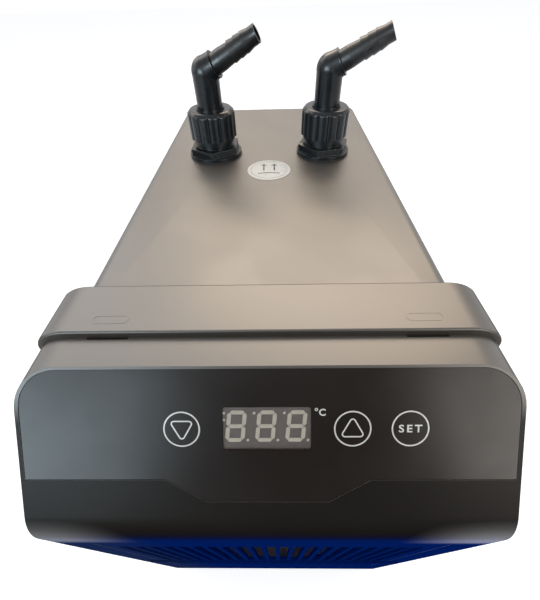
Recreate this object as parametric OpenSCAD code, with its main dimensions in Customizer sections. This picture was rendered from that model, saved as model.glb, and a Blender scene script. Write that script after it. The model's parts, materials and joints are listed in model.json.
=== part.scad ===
/* [Casing] */
// Width of the sheet-metal casing
casing_w = 194; // [180:1:206]
// Depth from the front face to the rear edge of the casing
casing_d = 388; // [370:1:420]
// Height of the casing from its lower edge to its top
casing_h = 336; // [330:1:350]
// Outer radius of the casing's two long top bends
casing_r = 8; // [5:0.5:12]
// Thickness of the casing sheet
sheet_t = 1.2; // [0.8:0.1:1.6]
// Clear height under the front, as the feet hold it
foot_h = 8; // [6:0.5:12]

/* [Front] */
// How far the moulded front stands out past the casing on each side
front_over = 10; // [8:0.5:14]
// Wall of the moulded front parts
front_wall = 2.5; // [2:0.1:3]
// How far the collar's top stands above the casing's top
collar_rise = 7; // [5:0.5:9]
// How far the bezel's top lies below the collar's top
collar_step = 3.7; // [3:0.1:5]
// Length of the bezel's flat top, front to back
brow_d = 15; // [12:0.5:18]
// Length of the collar, front to back
collar_d = 29.5; // [26:0.5:34]
// Lean of the control panel, back from upright, in degrees
panel_tilt = 41.6; // [38:0.2:44]
// Height at which the panel plane meets the upright front
chin_h = 282; // [278:1:290]
// Radius of the chin between the panel plane and the upright front
chin_r = 25; // [18:1:28]
// Width of the front's rounded top corners
corner_w = 18.5; // [14:0.5:20]
// Height of the front's rounded top corners
corner_h = 13.8; // [10:0.2:15]

/* [Control panel] */
// Thickness of the printed overlay
overlay_t = 0.8; // [0.5:0.1:1]
// Rim left between the overlay and the bezel's edge
overlay_rim = 1.8; // [1.4:0.1:2.4]
// Distance up the slope to the overlay's straight lower edge
overlay_low = 26.5; // [24:0.5:29]
// How far the middle tab hangs below the straight lower edge
tab_drop = 10; // [8:0.5:11]
// Radius of a key's face
key_r = 7.9; // [7:0.1:8.5]
// Travel of a key
key_travel = 0.3; // [0.2:0.05:0.4]
// Distance of the arrow keys from the middle of the panel
key_x = 36; // [33:0.5:37]
// Distance of the set key from the middle of the panel
set_key_x = 60; // [57:0.5:64]
// Width of the three-digit display
display_w = 37.6; // [35:0.1:40]
// Height of the three-digit display
display_h = 19; // [17:0.1:20]

/* [Grille] */
// Number of upright slots in a row
slot_n = 21; // [15:2:21]
// Width of a bar between two slots
bar_w = 2.6; // [2.2:0.1:4]
// Height of the upper row's lower end
slot_low = 130; // [128:1:150]
// Height of the upper row's upper end
slot_high = 238; // [220:1:242]
// Depth of the ledge above the lower row
ledge_out = 1.2; // [0.8:0.1:1.6]

/* [Hose fittings] */
// Distance of each fitting from the middle of the casing
fit_x = 46.8; // [44:0.2:50]
// Distance of the fittings behind the front face
fit_back = 269; // [262:1:275]
// Radius of the flange on the casing's top
flange_r = 22.4; // [21:0.1:24]
// Width of the fitting's hexagon across its flats
hex_af = 38; // [34:0.5:38.6]
// Outer radius of the union nut
nut_r = 19.3; // [18.6:0.1:20.5]
// Height of the union nut
nut_h = 24.3; // [23:0.1:26]
// Thread pitch of the union
union_pitch = 3; // [2:0.25:3.5]
// Outer radius of the elbow's tube
elbow_r = 10; // [9.4:0.1:10.4]
// Lean of the hose tail from upright, in degrees
tail_tilt = 61.5; // [45:0.5:65]
// Outer radius of the hose tail's barbs
tail_r = 7.3; // [7.1:0.1:7.6]
// Outer radius of the hose tail's plain end
tail_end_r = 5.9; // [5.7:0.1:6.2]
// Inner radius of the hose tail
tail_bore_r = 4.9; // [4.4:0.1:5.2]

/* [Cooling circuit] */
// Radius of the compressor's shell
compressor_r = 50; // [44:1:52]
// Height of the compressor's shell
compressor_h = 140; // [120:1:150]
// Radius of the heat exchanger tank's ends
tank_r = 40; // [36:1:41]
// Radius of the fan's blade tips
fan_r = 70; // [60:1:74]
// Number of condenser tubes, one above another
tube_n = 9; // [7:2:9]
// Number of condenser fins
fin_n = 27; // [15:2:31]

/* [Hidden] */
$fn = 48;

// Clearances and overruns
cut = 1;                 // overrun of every cut
slip = 0.3;              // gap between pieces that sit beside each other
key_slip = 0.15;         // gap round a key's face
weld = 1;                // how far a straight run reaches into a bend
bead = 0.15;             // how much fuller a bend is than the straight run
ball_share = 1.12;       // radius of a pipe's corner, as a share of the pipe's
ball_turn = [30, 40, 0];  // keeps the poles of those balls clear of the runs
bolt_slip = 0.2;         // radial gap of a screw in its hole

// Levels and places of the casing
lift = foot_h;
casing_top = lift + casing_h;
front_w = casing_w + 2 * front_over;
gland_out = 14;          // how far the cable gland stands out behind
front_y = -(casing_d + gland_out - ledge_out) / 2;
rear_y = front_y + casing_d;
front_high = casing_h + collar_rise - collar_step;
collar_high = casing_h + collar_rise;
brow_back = front_y + (front_high - chin_h) * tan(panel_tilt) + brow_d;
collar_back = brow_back + collar_d;
collar_over = 0.5;       // how far the collar stands out past the bezel on each side
collar_w = front_w + 2 * collar_over;
pan_gap = 0.5;
pan_z = lift + front_wall + pan_gap;
pan_t = 1.5;
pan_top = pan_z + pan_t;
pan_w = casing_w - 2 * (sheet_t + slip);
pan_front = front_y + front_wall + 2 * pan_gap + ledge_out;
pan_flange = 14;
rear_inset = 2;
rear_plate_y = rear_y - rear_inset;
shell_front = brow_back + front_wall;
chin_z = chin_h - chin_r * tan(panel_tilt / 2);

// Screws
screw_r = 1.6;
screw_head_r = 3.4;
screw_head_h = 2;
screw_l = 6;
shell_screw_share = [0.12, 0.5, 0.9];  // places of the side screws along the casing
rear_screw_share = [0.3, 0.85];        // places of the rear screws up the casing
rear_flange = 12;

// Feet
foot_r = 12;
foot_low_r = 10.6;
foot_in = 24;
foot_screw_r = 2;
foot_head_r = 4;
foot_head_h = 2.5;
foot_recess = 4;
foot_front_y = collar_back + foot_in;
foot_rear_y = rear_y - foot_in;
foot_x = casing_w / 2 - foot_in;

// Release slots between the collar and the bezel
clip_x = 71;
clip_w = 18.6;
clip_gap = 1.1;

// Control panel, measured up the slope from the chin line
overlay_top_rim = 1.2;
overlay_top = (front_high - chin_h) / cos(panel_tilt) - overlay_top_rim;
overlay_gap = 0.15;
overlay_sink = 0.2;      // how far the overlay's face lies below the bezel's
recess = overlay_t + overlay_sink;
tab_top_share = 0.42;    // half width of the tab at its root, as a share of the overlay's
tab_low_share = 0.25;    // half width of the tab at its foot
overlay_half = front_w / 2 - overlay_rim;
overlay_corner = 17;
key_v = overlay_low + (overlay_top - overlay_low) * 0.465;
window_r = 1.5;
window_t = 0.6;
board_t = 1.6;
board_w = 148;
board_h = 34;
board_depth = 13;        // from the panel plane down to the board's face
boss_r = 3;
boss_in = 4;             // from the board's edges in to its screws
boss_x = board_w / 2 - boss_in;
boss_v = board_h / 2 - boss_in;
switch_w = 6.2;
switch_h = 4.3;
plunger_r = 2.4;
board_mid = set_key_x / 6;

// Intake grille
lower_slot_high_share = 0.91;  // upper end of the lower row, as a share of slot_low
lower_slot_low_share = 0.66;   // lower end of the lower row, as a share of slot_low
grille_low_share = 0.5;        // lower edge of the grille, as a share of slot_low
ledge_h = 4.5;
ledge_half_share = 0.92;       // half length of the ledge, as a share of half the front
grille_rim = 6;
grille_brow = 15;
grille_in = 7;           // from the casing's side in to the grille's edge
grille_half = casing_w / 2 - grille_in;
slot_pitch = 2 * (grille_half - grille_rim) / slot_n;
slot_w = slot_pitch - bar_w;
grille_z0 = lift + grille_low_share * slot_low;
grille_z1 = lift + slot_high + grille_brow;
seat_w = 4;
seat_t = 2;
tab_w = 12;
tab_t = 1.5;
tab_l = 6;

// Hose fittings, measured up from the casing's top
fit_y = front_y + fit_back;
seal_t = 1.2;
flange_h = 2.3;
hex_h = 5;
hex_top = seal_t + flange_h + hex_h;
hex_turn_left = 0;
hex_turn_right = -18;
shank_r = 13;
shank_drop = 26;
thread_r = 15;
thread_ridge = 0.5;
thread_n = 3;
fit_bore_r = 8;
thread_l = 15.5;
thread_top = hex_top + thread_l;
ring_r = 11.6;
ring_t = 2.4;
elbow_foot = thread_top + slip;
elbow_bore_r = 6.2;
elbow_collar_r = 14;
elbow_collar_h = 5;
washer_t = 0.8;
nut_gap = 3.2;           // between the hexagon and the tightened nut
nut_low = hex_top + nut_gap;
nut_bore_r = thread_r + thread_ridge + slip;
nut_edge = 2.5;          // bevel round the nut's top
nut_lip_r = 11.3;        // raised ring round the nut's hole
nut_lip_h = 1.2;
nut_flute_n = 14;
nut_flute_r = 1.6;
nut_flute_depth = 0.8;
bend_h = 60.4;
mouth_l = 9.5;
mouth_r = 8.9;
mouth_ring_r = 9.3;
mouth_ring_l = 1;
socket_l = 4;
socket_slip = 0.05;
tail_l = 46;
tail_end_l = 5;
barb_n = 3;
barb_l = 5.5;
barb_ledge = 0.8;        // how far a barb stands out over its neighbour's thin end
barb_step = 0.15;        // how much smaller each barb is than the one before it
neck_share = 0.4;        // straight part of the neck, before it narrows
tail_neck_r = tail_r - barb_ledge;
locknut_h = 5;
locknut_r = 21;
tail_turn_left = -7;
tail_turn_right = -12;
sticker_r = 17.5;
sticker_t = 0.3;
sticker_front = 34;      // from the fittings' line forward to the sticker's middle

// Heat exchanger
tank_wall = 3;
tank_side = 17;          // from the casing's side in to the tank's end
tank_half = casing_w / 2 - tank_side;
foam_t = 6;
foam_foot = 20;
lid_h = 6;
lid_drop = 34;           // from the casing's top down to the lid's top
lid_z = casing_top - sheet_t - lid_drop;
port_r = 17;
port_gap = 4;
port_top = casing_top - sheet_t - locknut_h - port_gap;
tank_z = pan_top + foam_foot;
coil_r = 24;
coil_tube_r = 4;
coil_turns = 9.5;
coil_pitch = 17;
coil_steps = 16;
coil_sides = 6;
coil_foot = 14;
coil_z = tank_z + tank_wall + coil_foot;
coil_top = coil_z + coil_pitch * coil_turns;
inner_riser_x = coil_r - 2 * coil_tube_r - slip;
outer_riser_x = -coil_r;
probe_r = 3;
probe_l = 70;

// Compressor
compressor_back = 170;
compressor_y = front_y + compressor_back;
compressor_foot_x = 58;
compressor_foot_y = 42;
grommet_r = 9;
grommet_h = 14;
grommet_neck_r = 5;
stud_r = 3;
plate_t = 3;
plate_z = pan_top + grommet_h / 2;
shell_z = plate_z + plate_t;
stub_r = 4;
stub_x = 26;
stub_h = 14;
dome_h = 18;
terminal_w = 40;
terminal_h = 48;
terminal_t = 18;

// Condenser and fan
condenser_back = 32;
condenser_y = front_y + condenser_back;
fin_d = 22;
fin_t = 0.6;
fin_side = 18.4;         // from the casing's side in to the outermost fin
fin_half = casing_w / 2 - fin_side;
fin_pitch = 2 * (fin_half - fin_t) / (fin_n - 1);
fin_h = 214;
fin_foot = 6;
fin_z = pan_top + fin_foot;
cond_tube_r = 4;
tube_slip = 0.05;
tube_pitch = fin_h / tube_n;
bracket_t = 1.5;
fan_gap = 18;            // from the fins back to the middle of the fan
fan_y = condenser_y + fin_d + fan_gap;
fan_z = fin_z + fin_h / 2;
shroud_t = 2;
shroud_gap = 3;
shroud_y = condenser_y + fin_d + shroud_gap;
shroud_l = 32;
shroud_slip = 3;
shroud_foot = fin_h / 2 + fin_foot;
motor_r = 24;
motor_l = 30;
motor_gap = 14;          // from the middle of the fan back to the motor
motor_y = fan_y + motor_gap;
shaft_r = 4;
arm_w = 8;
hub_r = 24;
hub_l = 22;
blade_n = 5;
blade_t = 1.6;
blade_w = 26;
blade_pitch = 38;

// Pipes and small parts of the circuit
pipe_r = 3.2;
drier_r = 9;
drier_l = 80;
drier_side = 21;         // from the casing's side in to the drier's middle
drier_x = drier_side - casing_w / 2;
drier_back = 8;
drier_y = compressor_y + drier_back;
cap_r = 1.2;
pipe_side = 7;           // from the casing's side in to the side pipes
pipe_x = casing_w / 2 - pipe_side;
pipe_drop = 60;
pipe_high = casing_top - pipe_drop;
pipe_back = fit_y - tank_r - foam_t - 2 * pipe_r;
pipe_gap = 1;
shroud_half = pipe_x - pipe_r - pipe_gap;

// Electrics
box_w = 110;
box_h = 90;
box_d = 40;
box_z_share = 0.64;      // place of the control box up the casing
box_z = lift + casing_h * box_z_share;
box_wall = 2;
box_y = rear_plate_y - sheet_t - box_d - slip;
power_w = 96;
power_h = 76;
gland_side = 35;         // from the casing's side in to the gland
gland_x = gland_side - casing_w / 2;
gland_rise = 48;
gland_z = lift + gland_rise;
gland_r = 9;
gland_thread_r = 7.5;
gland_bore_r = 4;
gland_flange = 4;
gland_wall = 1;
gland_inside = 12;

// Point on the panel plane: u across, v up the slope from the chin line, w out of the face
module on_panel() {
    translate([0, front_y, lift + chin_h]) rotate([90 - panel_tilt, 0, 0]) children();
}

// Outline of the moulded front with rounded top corners, drawn across and up
function front_outline(w, h, a, b) = concat(
    [[-w / 2, 0], [w / 2, 0]],
    [for (i = [0:10]) [w / 2 - a + a * cos(9 * i), h - b + b * sin(9 * i)]],
    [for (i = [0:10]) [a - w / 2 - a * sin(9 * i), h - b + b * cos(9 * i)]]
);

// Side profile of the moulded front, drawn back and up, moved inwards by d
function front_profile(d) = concat(
    [[d, d], [brow_back - front_y + cut, d], [brow_back - front_y + cut, front_high - d]],
    [[d + (front_high - d - chin_h + d * tan(panel_tilt / 2)) * tan(panel_tilt), front_high - d]],
    [for (i = [0:8]) let(a = 180 - panel_tilt * (8 - i) / 8)
        [chin_r + (chin_r - d) * cos(a), chin_z + (chin_r - d) * sin(a)]]
);

// The moulded front as a solid, moved inwards by d
module front_form(d) {
    intersection() {
        translate([-front_w / 2, front_y, lift]) rotate([90, 0, 90])
            linear_extrude(front_w) polygon(front_profile(d));
        translate([0, brow_back + (d > 0 ? cut : 0), lift]) rotate([90, 0, 0])
            linear_extrude(brow_back - front_y + 2 * cut)
                translate([0, d]) polygon(front_outline(front_w - 2 * d, front_high - 2 * d,
                    corner_w - d, corner_h - d));
    }
}

// Casing outline with two round top corners, drawn across and up
module casing_outline(w, h, r) {
    translate([-w / 2, 0]) square([w, h - r]);
    translate([r - w / 2, 0]) square([w - 2 * r, h]);
    for (s = [-1, 1]) translate([s * (w / 2 - r), h - r]) circle(r);
}

// An extrusion along Y from y0 to y1, drawn across and up, standing at z
module along_y(y0, y1, z) {
    translate([0, y1, z]) rotate([90, 0, 0]) linear_extrude(y1 - y0) children();
}

// A round rod along Y
module rod_y(x, y0, y1, z, r) {
    translate([x, y0, z]) rotate([-90, 0, 0]) cylinder(h = y1 - y0, r = r);
}

// A pipe along a list of points, with ball corners
module pipe(points, r) {
    for (i = [0:len(points) - 2]) {
        run = points[i + 1] - points[i];
        flat = norm([run[0], run[1]]);
        translate(points[i])
            rotate([0, atan2(flat, run[2]), atan2(run[1], run[0])]) cylinder(h = norm(run), r = r);
    }
    for (i = [1:1:len(points) - 2]) translate(points[i]) rotate(ball_turn) sphere(r * ball_share);
}

function tail_turn(side) = side < 0 ? tail_turn_left : tail_turn_right;
function hex_turn(side) = side < 0 ? hex_turn_left : hex_turn_right;

module at_fitting(side) {
    translate([side * fit_x, fit_y, casing_top]) children();
}

module at_bend(side) {
    at_fitting(side) translate([0, 0, bend_h]) rotate([0, 0, tail_turn(side)])
        rotate([0, tail_tilt, 0]) children();
}

// Places of the screws along the casing's sides
shell_screw_y = [for (s = shell_screw_share) shell_front + collar_d + s * (rear_y - shell_front - collar_d)];
rear_screw_z = [for (s = rear_screw_share) lift + s * casing_h];
side_screw_z = pan_top + pan_flange / 2;

module side_screw_cuts() {
    for (s = [-1, 1]) {
        for (y = shell_screw_y)
            translate([s * casing_w / 2, y, side_screw_z]) rotate([0, 90, 0])
                cylinder(h = 2 * screw_l, r = screw_r + bolt_slip, center = true);
        for (z = rear_screw_z)
            translate([s * casing_w / 2, rear_plate_y - rear_flange / 2, z]) rotate([0, 90, 0])
                cylinder(h = 2 * screw_l, r = screw_r + bolt_slip, center = true);
    }
}

module housing_shell() {
    color([0.16, 0.15, 0.14]) difference() {
        along_y(shell_front, rear_y, pan_z)
            casing_outline(casing_w, casing_top - pan_z, casing_r);
        along_y(shell_front - cut, rear_y + cut, pan_z - cut)
            casing_outline(casing_w - 2 * sheet_t, casing_top - pan_z - sheet_t + cut,
                casing_r - sheet_t);
        for (s = [-1, 1]) translate([s * fit_x, fit_y, casing_top - sheet_t - cut])
            cylinder(h = sheet_t + 2 * cut, r = shank_r + slip);
        side_screw_cuts();
    }
}

rear_slot_n = 10;
rear_slot_pitch = 12;
rear_slot_h = 4;
rear_slot_side = 22;     // from the casing's side in to the slots
rear_slot_mid = 9;       // from the middle out to the slots
rear_slot_w = casing_w / 2 - rear_slot_side - rear_slot_mid;
rear_slot_x = rear_slot_mid + rear_slot_w / 2;
rear_slot_rise = 32;     // from the gland up to the lowest slot
rear_slot_z = gland_z + rear_slot_rise;

module rear_panel() {
    inner_w = casing_w - 2 * (sheet_t + slip);
    inner_h = casing_top - pan_top - sheet_t - 2 * slip;
    inner_r = casing_r - sheet_t - slip;
    color([0.14, 0.14, 0.14]) difference() {
        along_y(rear_plate_y - rear_flange, rear_plate_y, pan_top + slip)
            casing_outline(inner_w, inner_h, inner_r);
        along_y(rear_plate_y - rear_flange - cut, rear_plate_y - sheet_t, pan_top + slip + sheet_t)
            casing_outline(inner_w - 2 * sheet_t, inner_h - 2 * sheet_t, inner_r - sheet_t);
        for (s = [-1, 1]) for (i = [0:rear_slot_n - 1])
            translate([s * rear_slot_x - rear_slot_w / 2, rear_plate_y - sheet_t - cut,
                rear_slot_z + i * rear_slot_pitch]) cube([rear_slot_w, sheet_t + 2 * cut, rear_slot_h]);
        rod_y(gland_x, rear_plate_y - rear_flange, rear_y, gland_z, gland_thread_r + bolt_slip);
        side_screw_cuts();
        // Room for the base pan's side flanges
        for (s = [-1, 1]) translate([s * (pan_w / 2 - sheet_t) - pan_t - slip,
            rear_plate_y - rear_flange - cut, pan_top])
            cube([2 * (pan_t + slip), rear_flange - sheet_t + cut, pan_flange + slip]);
    }
}

module foot_places() {
    for (s = [-1, 1]) for (y = [foot_front_y, foot_rear_y]) translate([s * foot_x, y, 0]) children();
}

module compressor_places() {
    for (a = [-1, 1]) for (b = [-1, 1])
        translate([a * compressor_foot_x, compressor_y + b * compressor_foot_y, 0]) children();
}

module base_pan() {
    pan_back = rear_plate_y - sheet_t - slip;
    color([0.45, 0.46, 0.47]) difference() {
        union() {
            translate([-pan_w / 2, pan_front, pan_z]) cube([pan_w, pan_back - pan_front, pan_t]);
            for (s = [-1, 1]) translate([s * (pan_w / 2 - pan_t / 2) - pan_t / 2, shell_front + slip, pan_z])
                cube([pan_t, pan_back - shell_front - slip, pan_t + pan_flange]);
            compressor_places() translate([0, 0, pan_z])
                cylinder(h = pan_t + grommet_h + plate_t + stud_r, r = stud_r);
        }
        foot_places() translate([0, 0, pan_z - cut])
            cylinder(h = pan_t + 2 * cut, r = foot_screw_r + bolt_slip);
        side_screw_cuts();
    }
}

module casing_screws() {
    color([0.1, 0.1, 0.1]) for (s = [-1, 1]) {
        for (y = shell_screw_y) side_screw(s, y, side_screw_z);
        for (z = rear_screw_z) side_screw(s, rear_plate_y - rear_flange / 2, z);
    }
}

module side_screw(s, y, z) {
    translate([s * casing_w / 2, y, z]) rotate([0, 90 * s, 0]) {
        difference() {
            cylinder(h = screw_head_h, r1 = screw_head_r, r2 = screw_head_r - screw_head_h / 2);
            for (a = [0, 90]) rotate([0, 0, a])
                translate([-screw_r, -screw_r / 4, screw_head_h / 2])
                    cube([2 * screw_r, screw_r / 2, screw_head_h]);
        }
        translate([0, 0, -screw_l + sheet_t]) cylinder(h = screw_l - sheet_t, r = screw_r);
    }
}

module rubber_feet() {
    color([0.06, 0.06, 0.06]) foot_places() difference() {
        cylinder(h = pan_z, r1 = foot_low_r, r2 = foot_r);
        translate([0, 0, -cut]) cylinder(h = foot_recess + cut, r = foot_head_r + slip);
        cylinder(h = pan_z + cut, r = foot_screw_r + bolt_slip);
    }
}

module foot_screws() {
    color([0.6, 0.6, 0.6]) foot_places() {
        translate([0, 0, foot_recess - foot_head_h]) cylinder(h = foot_head_h, r = foot_head_r);
        translate([0, 0, foot_recess]) cylinder(h = pan_top + foot_head_h - foot_recess, r = foot_screw_r);
    }
}

module collar_frame() {
    inner_w = casing_w + 2 * slip;
    color([0.13, 0.13, 0.13]) difference() {
        along_y(brow_back, collar_back, lift)
            polygon(front_outline(collar_w, collar_high, corner_w, corner_h));
        // Hollow between the front flange and the rear wall
        along_y(shell_front, collar_back - front_wall, lift + front_wall)
            polygon(front_outline(collar_w - 2 * front_wall, collar_high - 2 * front_wall,
                corner_w - front_wall, corner_h - front_wall));
        // Opening of the front flange, which the casing's front edge bears on
        along_y(brow_back - cut, shell_front + cut, pan_z - slip)
            casing_outline(casing_w - 2 * sheet_t, casing_top - sheet_t - pan_z + slip,
                casing_r - sheet_t);
        // The casing's way through the rear wall
        along_y(shell_front + cut, collar_back + cut, pan_z - slip)
            casing_outline(inner_w, casing_top - pan_z + 2 * slip, casing_r + slip);
    }
}

module key_places() {
    for (x = [-key_x, key_x, set_key_x]) translate([x, key_v, 0]) children();
}

// The overlay's outline on the panel plane, moved inwards by d
function overlay_outline(d) = let(hw = overlay_half - d, r = overlay_corner - d, top = overlay_top - d,
    tab = overlay_half * tab_top_share, foot = overlay_half * tab_low_share, low = overlay_low + d) concat(
    [[-hw, low], [-tab, low], [-foot, low - tab_drop], [foot, low - tab_drop], [tab, low], [hw, low]],
    [for (i = [0:10]) [hw - r + r * cos(9 * i), top - r + r * sin(9 * i)]],
    [for (i = [0:10]) [r - hw - r * sin(9 * i), top - r + r * cos(9 * i)]]
);

module rounded_window(w, h, r) {
    square([w - 2 * r, h], center = true);
    square([w, h - 2 * r], center = true);
    for (a = [-1, 1]) for (b = [-1, 1]) translate([a * (w / 2 - r), b * (h / 2 - r)]) circle(r);
}

module board_bosses(r, h) {
    for (a = [-1, 1]) for (b = [-1, 1])
        translate([board_mid + a * boss_x, key_v + b * boss_v, -board_depth]) cylinder(h = h, r = r);
}

// A box across the middle of the front, from y0 to y1 and from z0 to z1
module front_box(half, y0, y1, z0, z1) {
    translate([-half, y0, z0]) cube([2 * half, y1 - y0, z1 - z0]);
}

module front_bezel() {
    color([0.12, 0.12, 0.12]) difference() {
        union() {
            difference() {
                front_form(0);
                front_form(front_wall);
            }
            // Seat behind the intake grille
            difference() {
                front_box(grille_half + seat_w, front_y + front_wall / 2, front_y + front_wall + seat_t,
                    grille_z0 - seat_w, grille_z1 + seat_w);
                front_box(grille_half - seat_w, front_y, front_y + front_wall + 2 * seat_t,
                    grille_z0 + seat_w, grille_z1 - seat_w);
            }
            on_panel() board_bosses(boss_r, board_depth - front_wall + cut / 2);
        }
        front_box(grille_half + slip, front_y - cut, front_y + front_wall, grille_z0 - slip,
            grille_z1 + slip);
        on_panel() {
            translate([0, 0, -recess]) linear_extrude(recess + cut) polygon(overlay_outline(0));
            translate([0, key_v, -board_depth]) linear_extrude(board_depth)
                rounded_window(display_w + 2 * slip, display_h + 2 * slip, window_r);
            key_places() translate([0, 0, -board_depth])
                cylinder(h = board_depth, r = key_r + key_slip);
            board_bosses(screw_r / 2 + bolt_slip, board_depth - front_wall - cut);
        }
        // Release slots at the back of the brow
        for (s = [-1, 1]) translate([s * clip_x - clip_w / 2, brow_back - clip_gap,
            lift + front_high - front_wall - cut]) cube([clip_w, clip_gap + cut, front_wall + 2 * cut]);
    }
}

module control_overlay() {
    color([0.08, 0.08, 0.08]) on_panel() difference() {
        translate([0, 0, -recess]) linear_extrude(overlay_t) polygon(overlay_outline(overlay_gap));
        key_places() translate([0, 0, -recess - cut]) cylinder(h = overlay_t + 2 * cut, r = key_r + key_slip);
        translate([0, key_v, -recess - cut]) linear_extrude(overlay_t + 2 * cut)
            rounded_window(display_w, display_h, window_r);
    }
}

module display_window() {
    color([0.3, 0.27, 0.24, 0.6]) on_panel() translate([0, key_v, -recess + overlay_t - window_t])
        linear_extrude(window_t)
            rounded_window(display_w - 2 * overlay_gap, display_h - 2 * overlay_gap, window_r);
}

module led_display() {
    color([0.25, 0.24, 0.22]) on_panel() translate([0, key_v, -board_depth]) linear_extrude(
        board_depth - recess - slip) square([display_w - slip, display_h - slip], center = true);
}

module display_board() {
    color([0.1, 0.3, 0.16]) on_panel() difference() {
        translate([board_mid - board_w / 2, key_v - board_h / 2, -board_depth - board_t])
            cube([board_w, board_h, board_t]);
        translate([0, 0, -board_t - cut]) board_bosses(screw_r + bolt_slip, board_t + 2 * cut);
    }
}

module board_screws() {
    color([0.6, 0.6, 0.6]) on_panel() translate([0, 0, -board_t]) {
        translate([0, 0, -screw_head_h]) board_bosses(screw_head_r - screw_head_h / 4, screw_head_h);
        board_bosses(screw_r / 2, board_t + screw_l);
    }
}

module tact_switches() {
    color([0.2, 0.2, 0.22]) on_panel() key_places() translate([-switch_w / 2, -switch_w / 2, -board_depth])
        cube([switch_w, switch_w, switch_h]);
}

module key(x) {
    plunger_l = board_depth - recess - switch_h - key_travel - key_slip / 3;
    color([0.1, 0.1, 0.1]) on_panel() translate([x, key_v, -recess]) {
        cylinder(h = overlay_t, r = key_r);
        translate([0, 0, -plunger_l]) cylinder(h = plunger_l, r = plunger_r);
    }
}

module slot_row(z0, z1) {
    for (i = [0:slot_n - 1])
        translate([(i - (slot_n - 1) / 2) * slot_pitch - slot_w / 2, front_y - cut, lift + z0])
            cube([slot_w, front_wall + 2 * cut, z1 - z0]);
}

module intake_grille() {
    color([0.05, 0.14, 0.55]) difference() {
        union() {
            front_box(grille_half, front_y, front_y + front_wall, grille_z0, grille_z1);
            // Ledge that the grille is pulled off by
            front_box(ledge_half_share * front_w / 2, front_y - ledge_out, front_y,
                lift + slot_low - ledge_h - slip, lift + slot_low - slip);
            // Snap tabs inside the seat
            for (s = [-1, 1])
                for (z = [grille_z0 + seat_w + slip, grille_z1 - seat_w - slip - tab_t])
                    translate([s * grille_half / 2 - tab_w / 2, front_y + front_wall - tab_t / 2, z])
                        cube([tab_w, tab_l, tab_t]);
        }
        slot_row(slot_low, slot_high);
        slot_row(lower_slot_low_share * slot_low, lower_slot_high_share * slot_low);
    }
}

module fitting(side) {
    color([0.1, 0.11, 0.12]) at_fitting(side) difference() {
        union() {
            translate([0, 0, -shank_drop]) cylinder(h = shank_drop + seal_t + flange_h / 2, r = shank_r);
            translate([0, 0, seal_t]) cylinder(h = flange_h, r = flange_r);
            translate([0, 0, seal_t + flange_h]) rotate([0, 0, 90 + hex_turn(side)])
                cylinder(h = hex_h, r = hex_af / 2 / cos(30), $fn = 6);
            translate([0, 0, hex_top]) cylinder(h = thread_top - hex_top, r = thread_r);
            for (i = [0:thread_n - 1]) translate([0, 0, thread_top - (i + 1) * union_pitch])
                cylinder(h = union_pitch / 2, r = thread_r + thread_ridge);
        }
        translate([0, 0, -shank_drop - cut]) cylinder(h = shank_drop + thread_top + 2 * cut, r = fit_bore_r);
    }
}

module flange_seal(side) {
    color([0.05, 0.05, 0.05]) at_fitting(side) difference() {
        cylinder(h = seal_t, r = flange_r - slip);
        translate([0, 0, -cut]) cylinder(h = seal_t + 2 * cut, r = shank_r + bolt_slip);
    }
}

module locknut(side) {
    color([0.12, 0.12, 0.13]) at_fitting(side) translate([0, 0, -sheet_t - locknut_h]) difference() {
        cylinder(h = locknut_h, r = locknut_r, $fn = 6);
        translate([0, 0, -cut]) cylinder(h = locknut_h + 2 * cut, r = shank_r + socket_slip);
    }
}

module o_ring(side) {
    color([0.04, 0.04, 0.04]) at_fitting(side) translate([0, 0, thread_top + ring_t / 2])
        rotate_extrude() translate([ring_r, 0]) circle(ring_t / 2);
}

// A round bar up the elbow and along its arm to the mouth, with a ball at the corner
module elbow_run(side, r, mouth_end_r, foot, mouth) {
    at_fitting(side) translate([0, 0, foot]) cylinder(h = bend_h - foot, r = r);
    at_bend(side) {
        rotate(ball_turn) sphere(r + bead);
        cylinder(h = mouth, r1 = r, r2 = mouth_end_r);
    }
}

module elbow(side) {
    groove_w = ring_t / 2 + key_slip;
    color([0.1, 0.12, 0.14]) difference() {
        union() {
            elbow_run(side, elbow_r, mouth_r, elbow_foot, mouth_l);
            at_fitting(side) translate([0, 0, elbow_foot]) cylinder(h = elbow_collar_h, r = elbow_collar_r);
            at_bend(side) translate([0, 0, mouth_l - mouth_ring_l])
                cylinder(h = mouth_ring_l, r = mouth_ring_r);
        }
        elbow_run(side, elbow_bore_r, elbow_bore_r, elbow_foot - cut, mouth_l + cut);
        at_fitting(side) translate([0, 0, elbow_foot - cut]) rotate_extrude()
            translate([ring_r - groove_w, 0]) square([2 * groove_w, cut + ring_t - slip + key_slip]);
        at_bend(side) translate([0, 0, mouth_l - socket_l])
            cylinder(h = socket_l + cut, r = tail_r + socket_slip);
    }
}

module hose_tail(side) {
    neck_l = tail_l - mouth_l - tail_end_l - barb_n * barb_l;
    color([0.08, 0.08, 0.09]) at_bend(side) difference() {
        union() {
            translate([0, 0, mouth_l - socket_l + socket_slip])
                cylinder(h = socket_l + neck_share * neck_l, r = tail_r);
            translate([0, 0, mouth_l + neck_share * neck_l])
                cylinder(h = (1 - neck_share) * neck_l, r1 = tail_r, r2 = tail_neck_r);
            for (i = [0:barb_n - 1]) translate([0, 0, mouth_l + neck_l + i * barb_l])
                cylinder(h = barb_l, r1 = tail_r - i * barb_step,
                    r2 = i < barb_n - 1 ? tail_neck_r : tail_end_r);
            translate([0, 0, tail_l - tail_end_l]) cylinder(h = tail_end_l, r = tail_end_r);
        }
        cylinder(h = tail_l + cut, r = tail_bore_r);
    }
}

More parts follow.
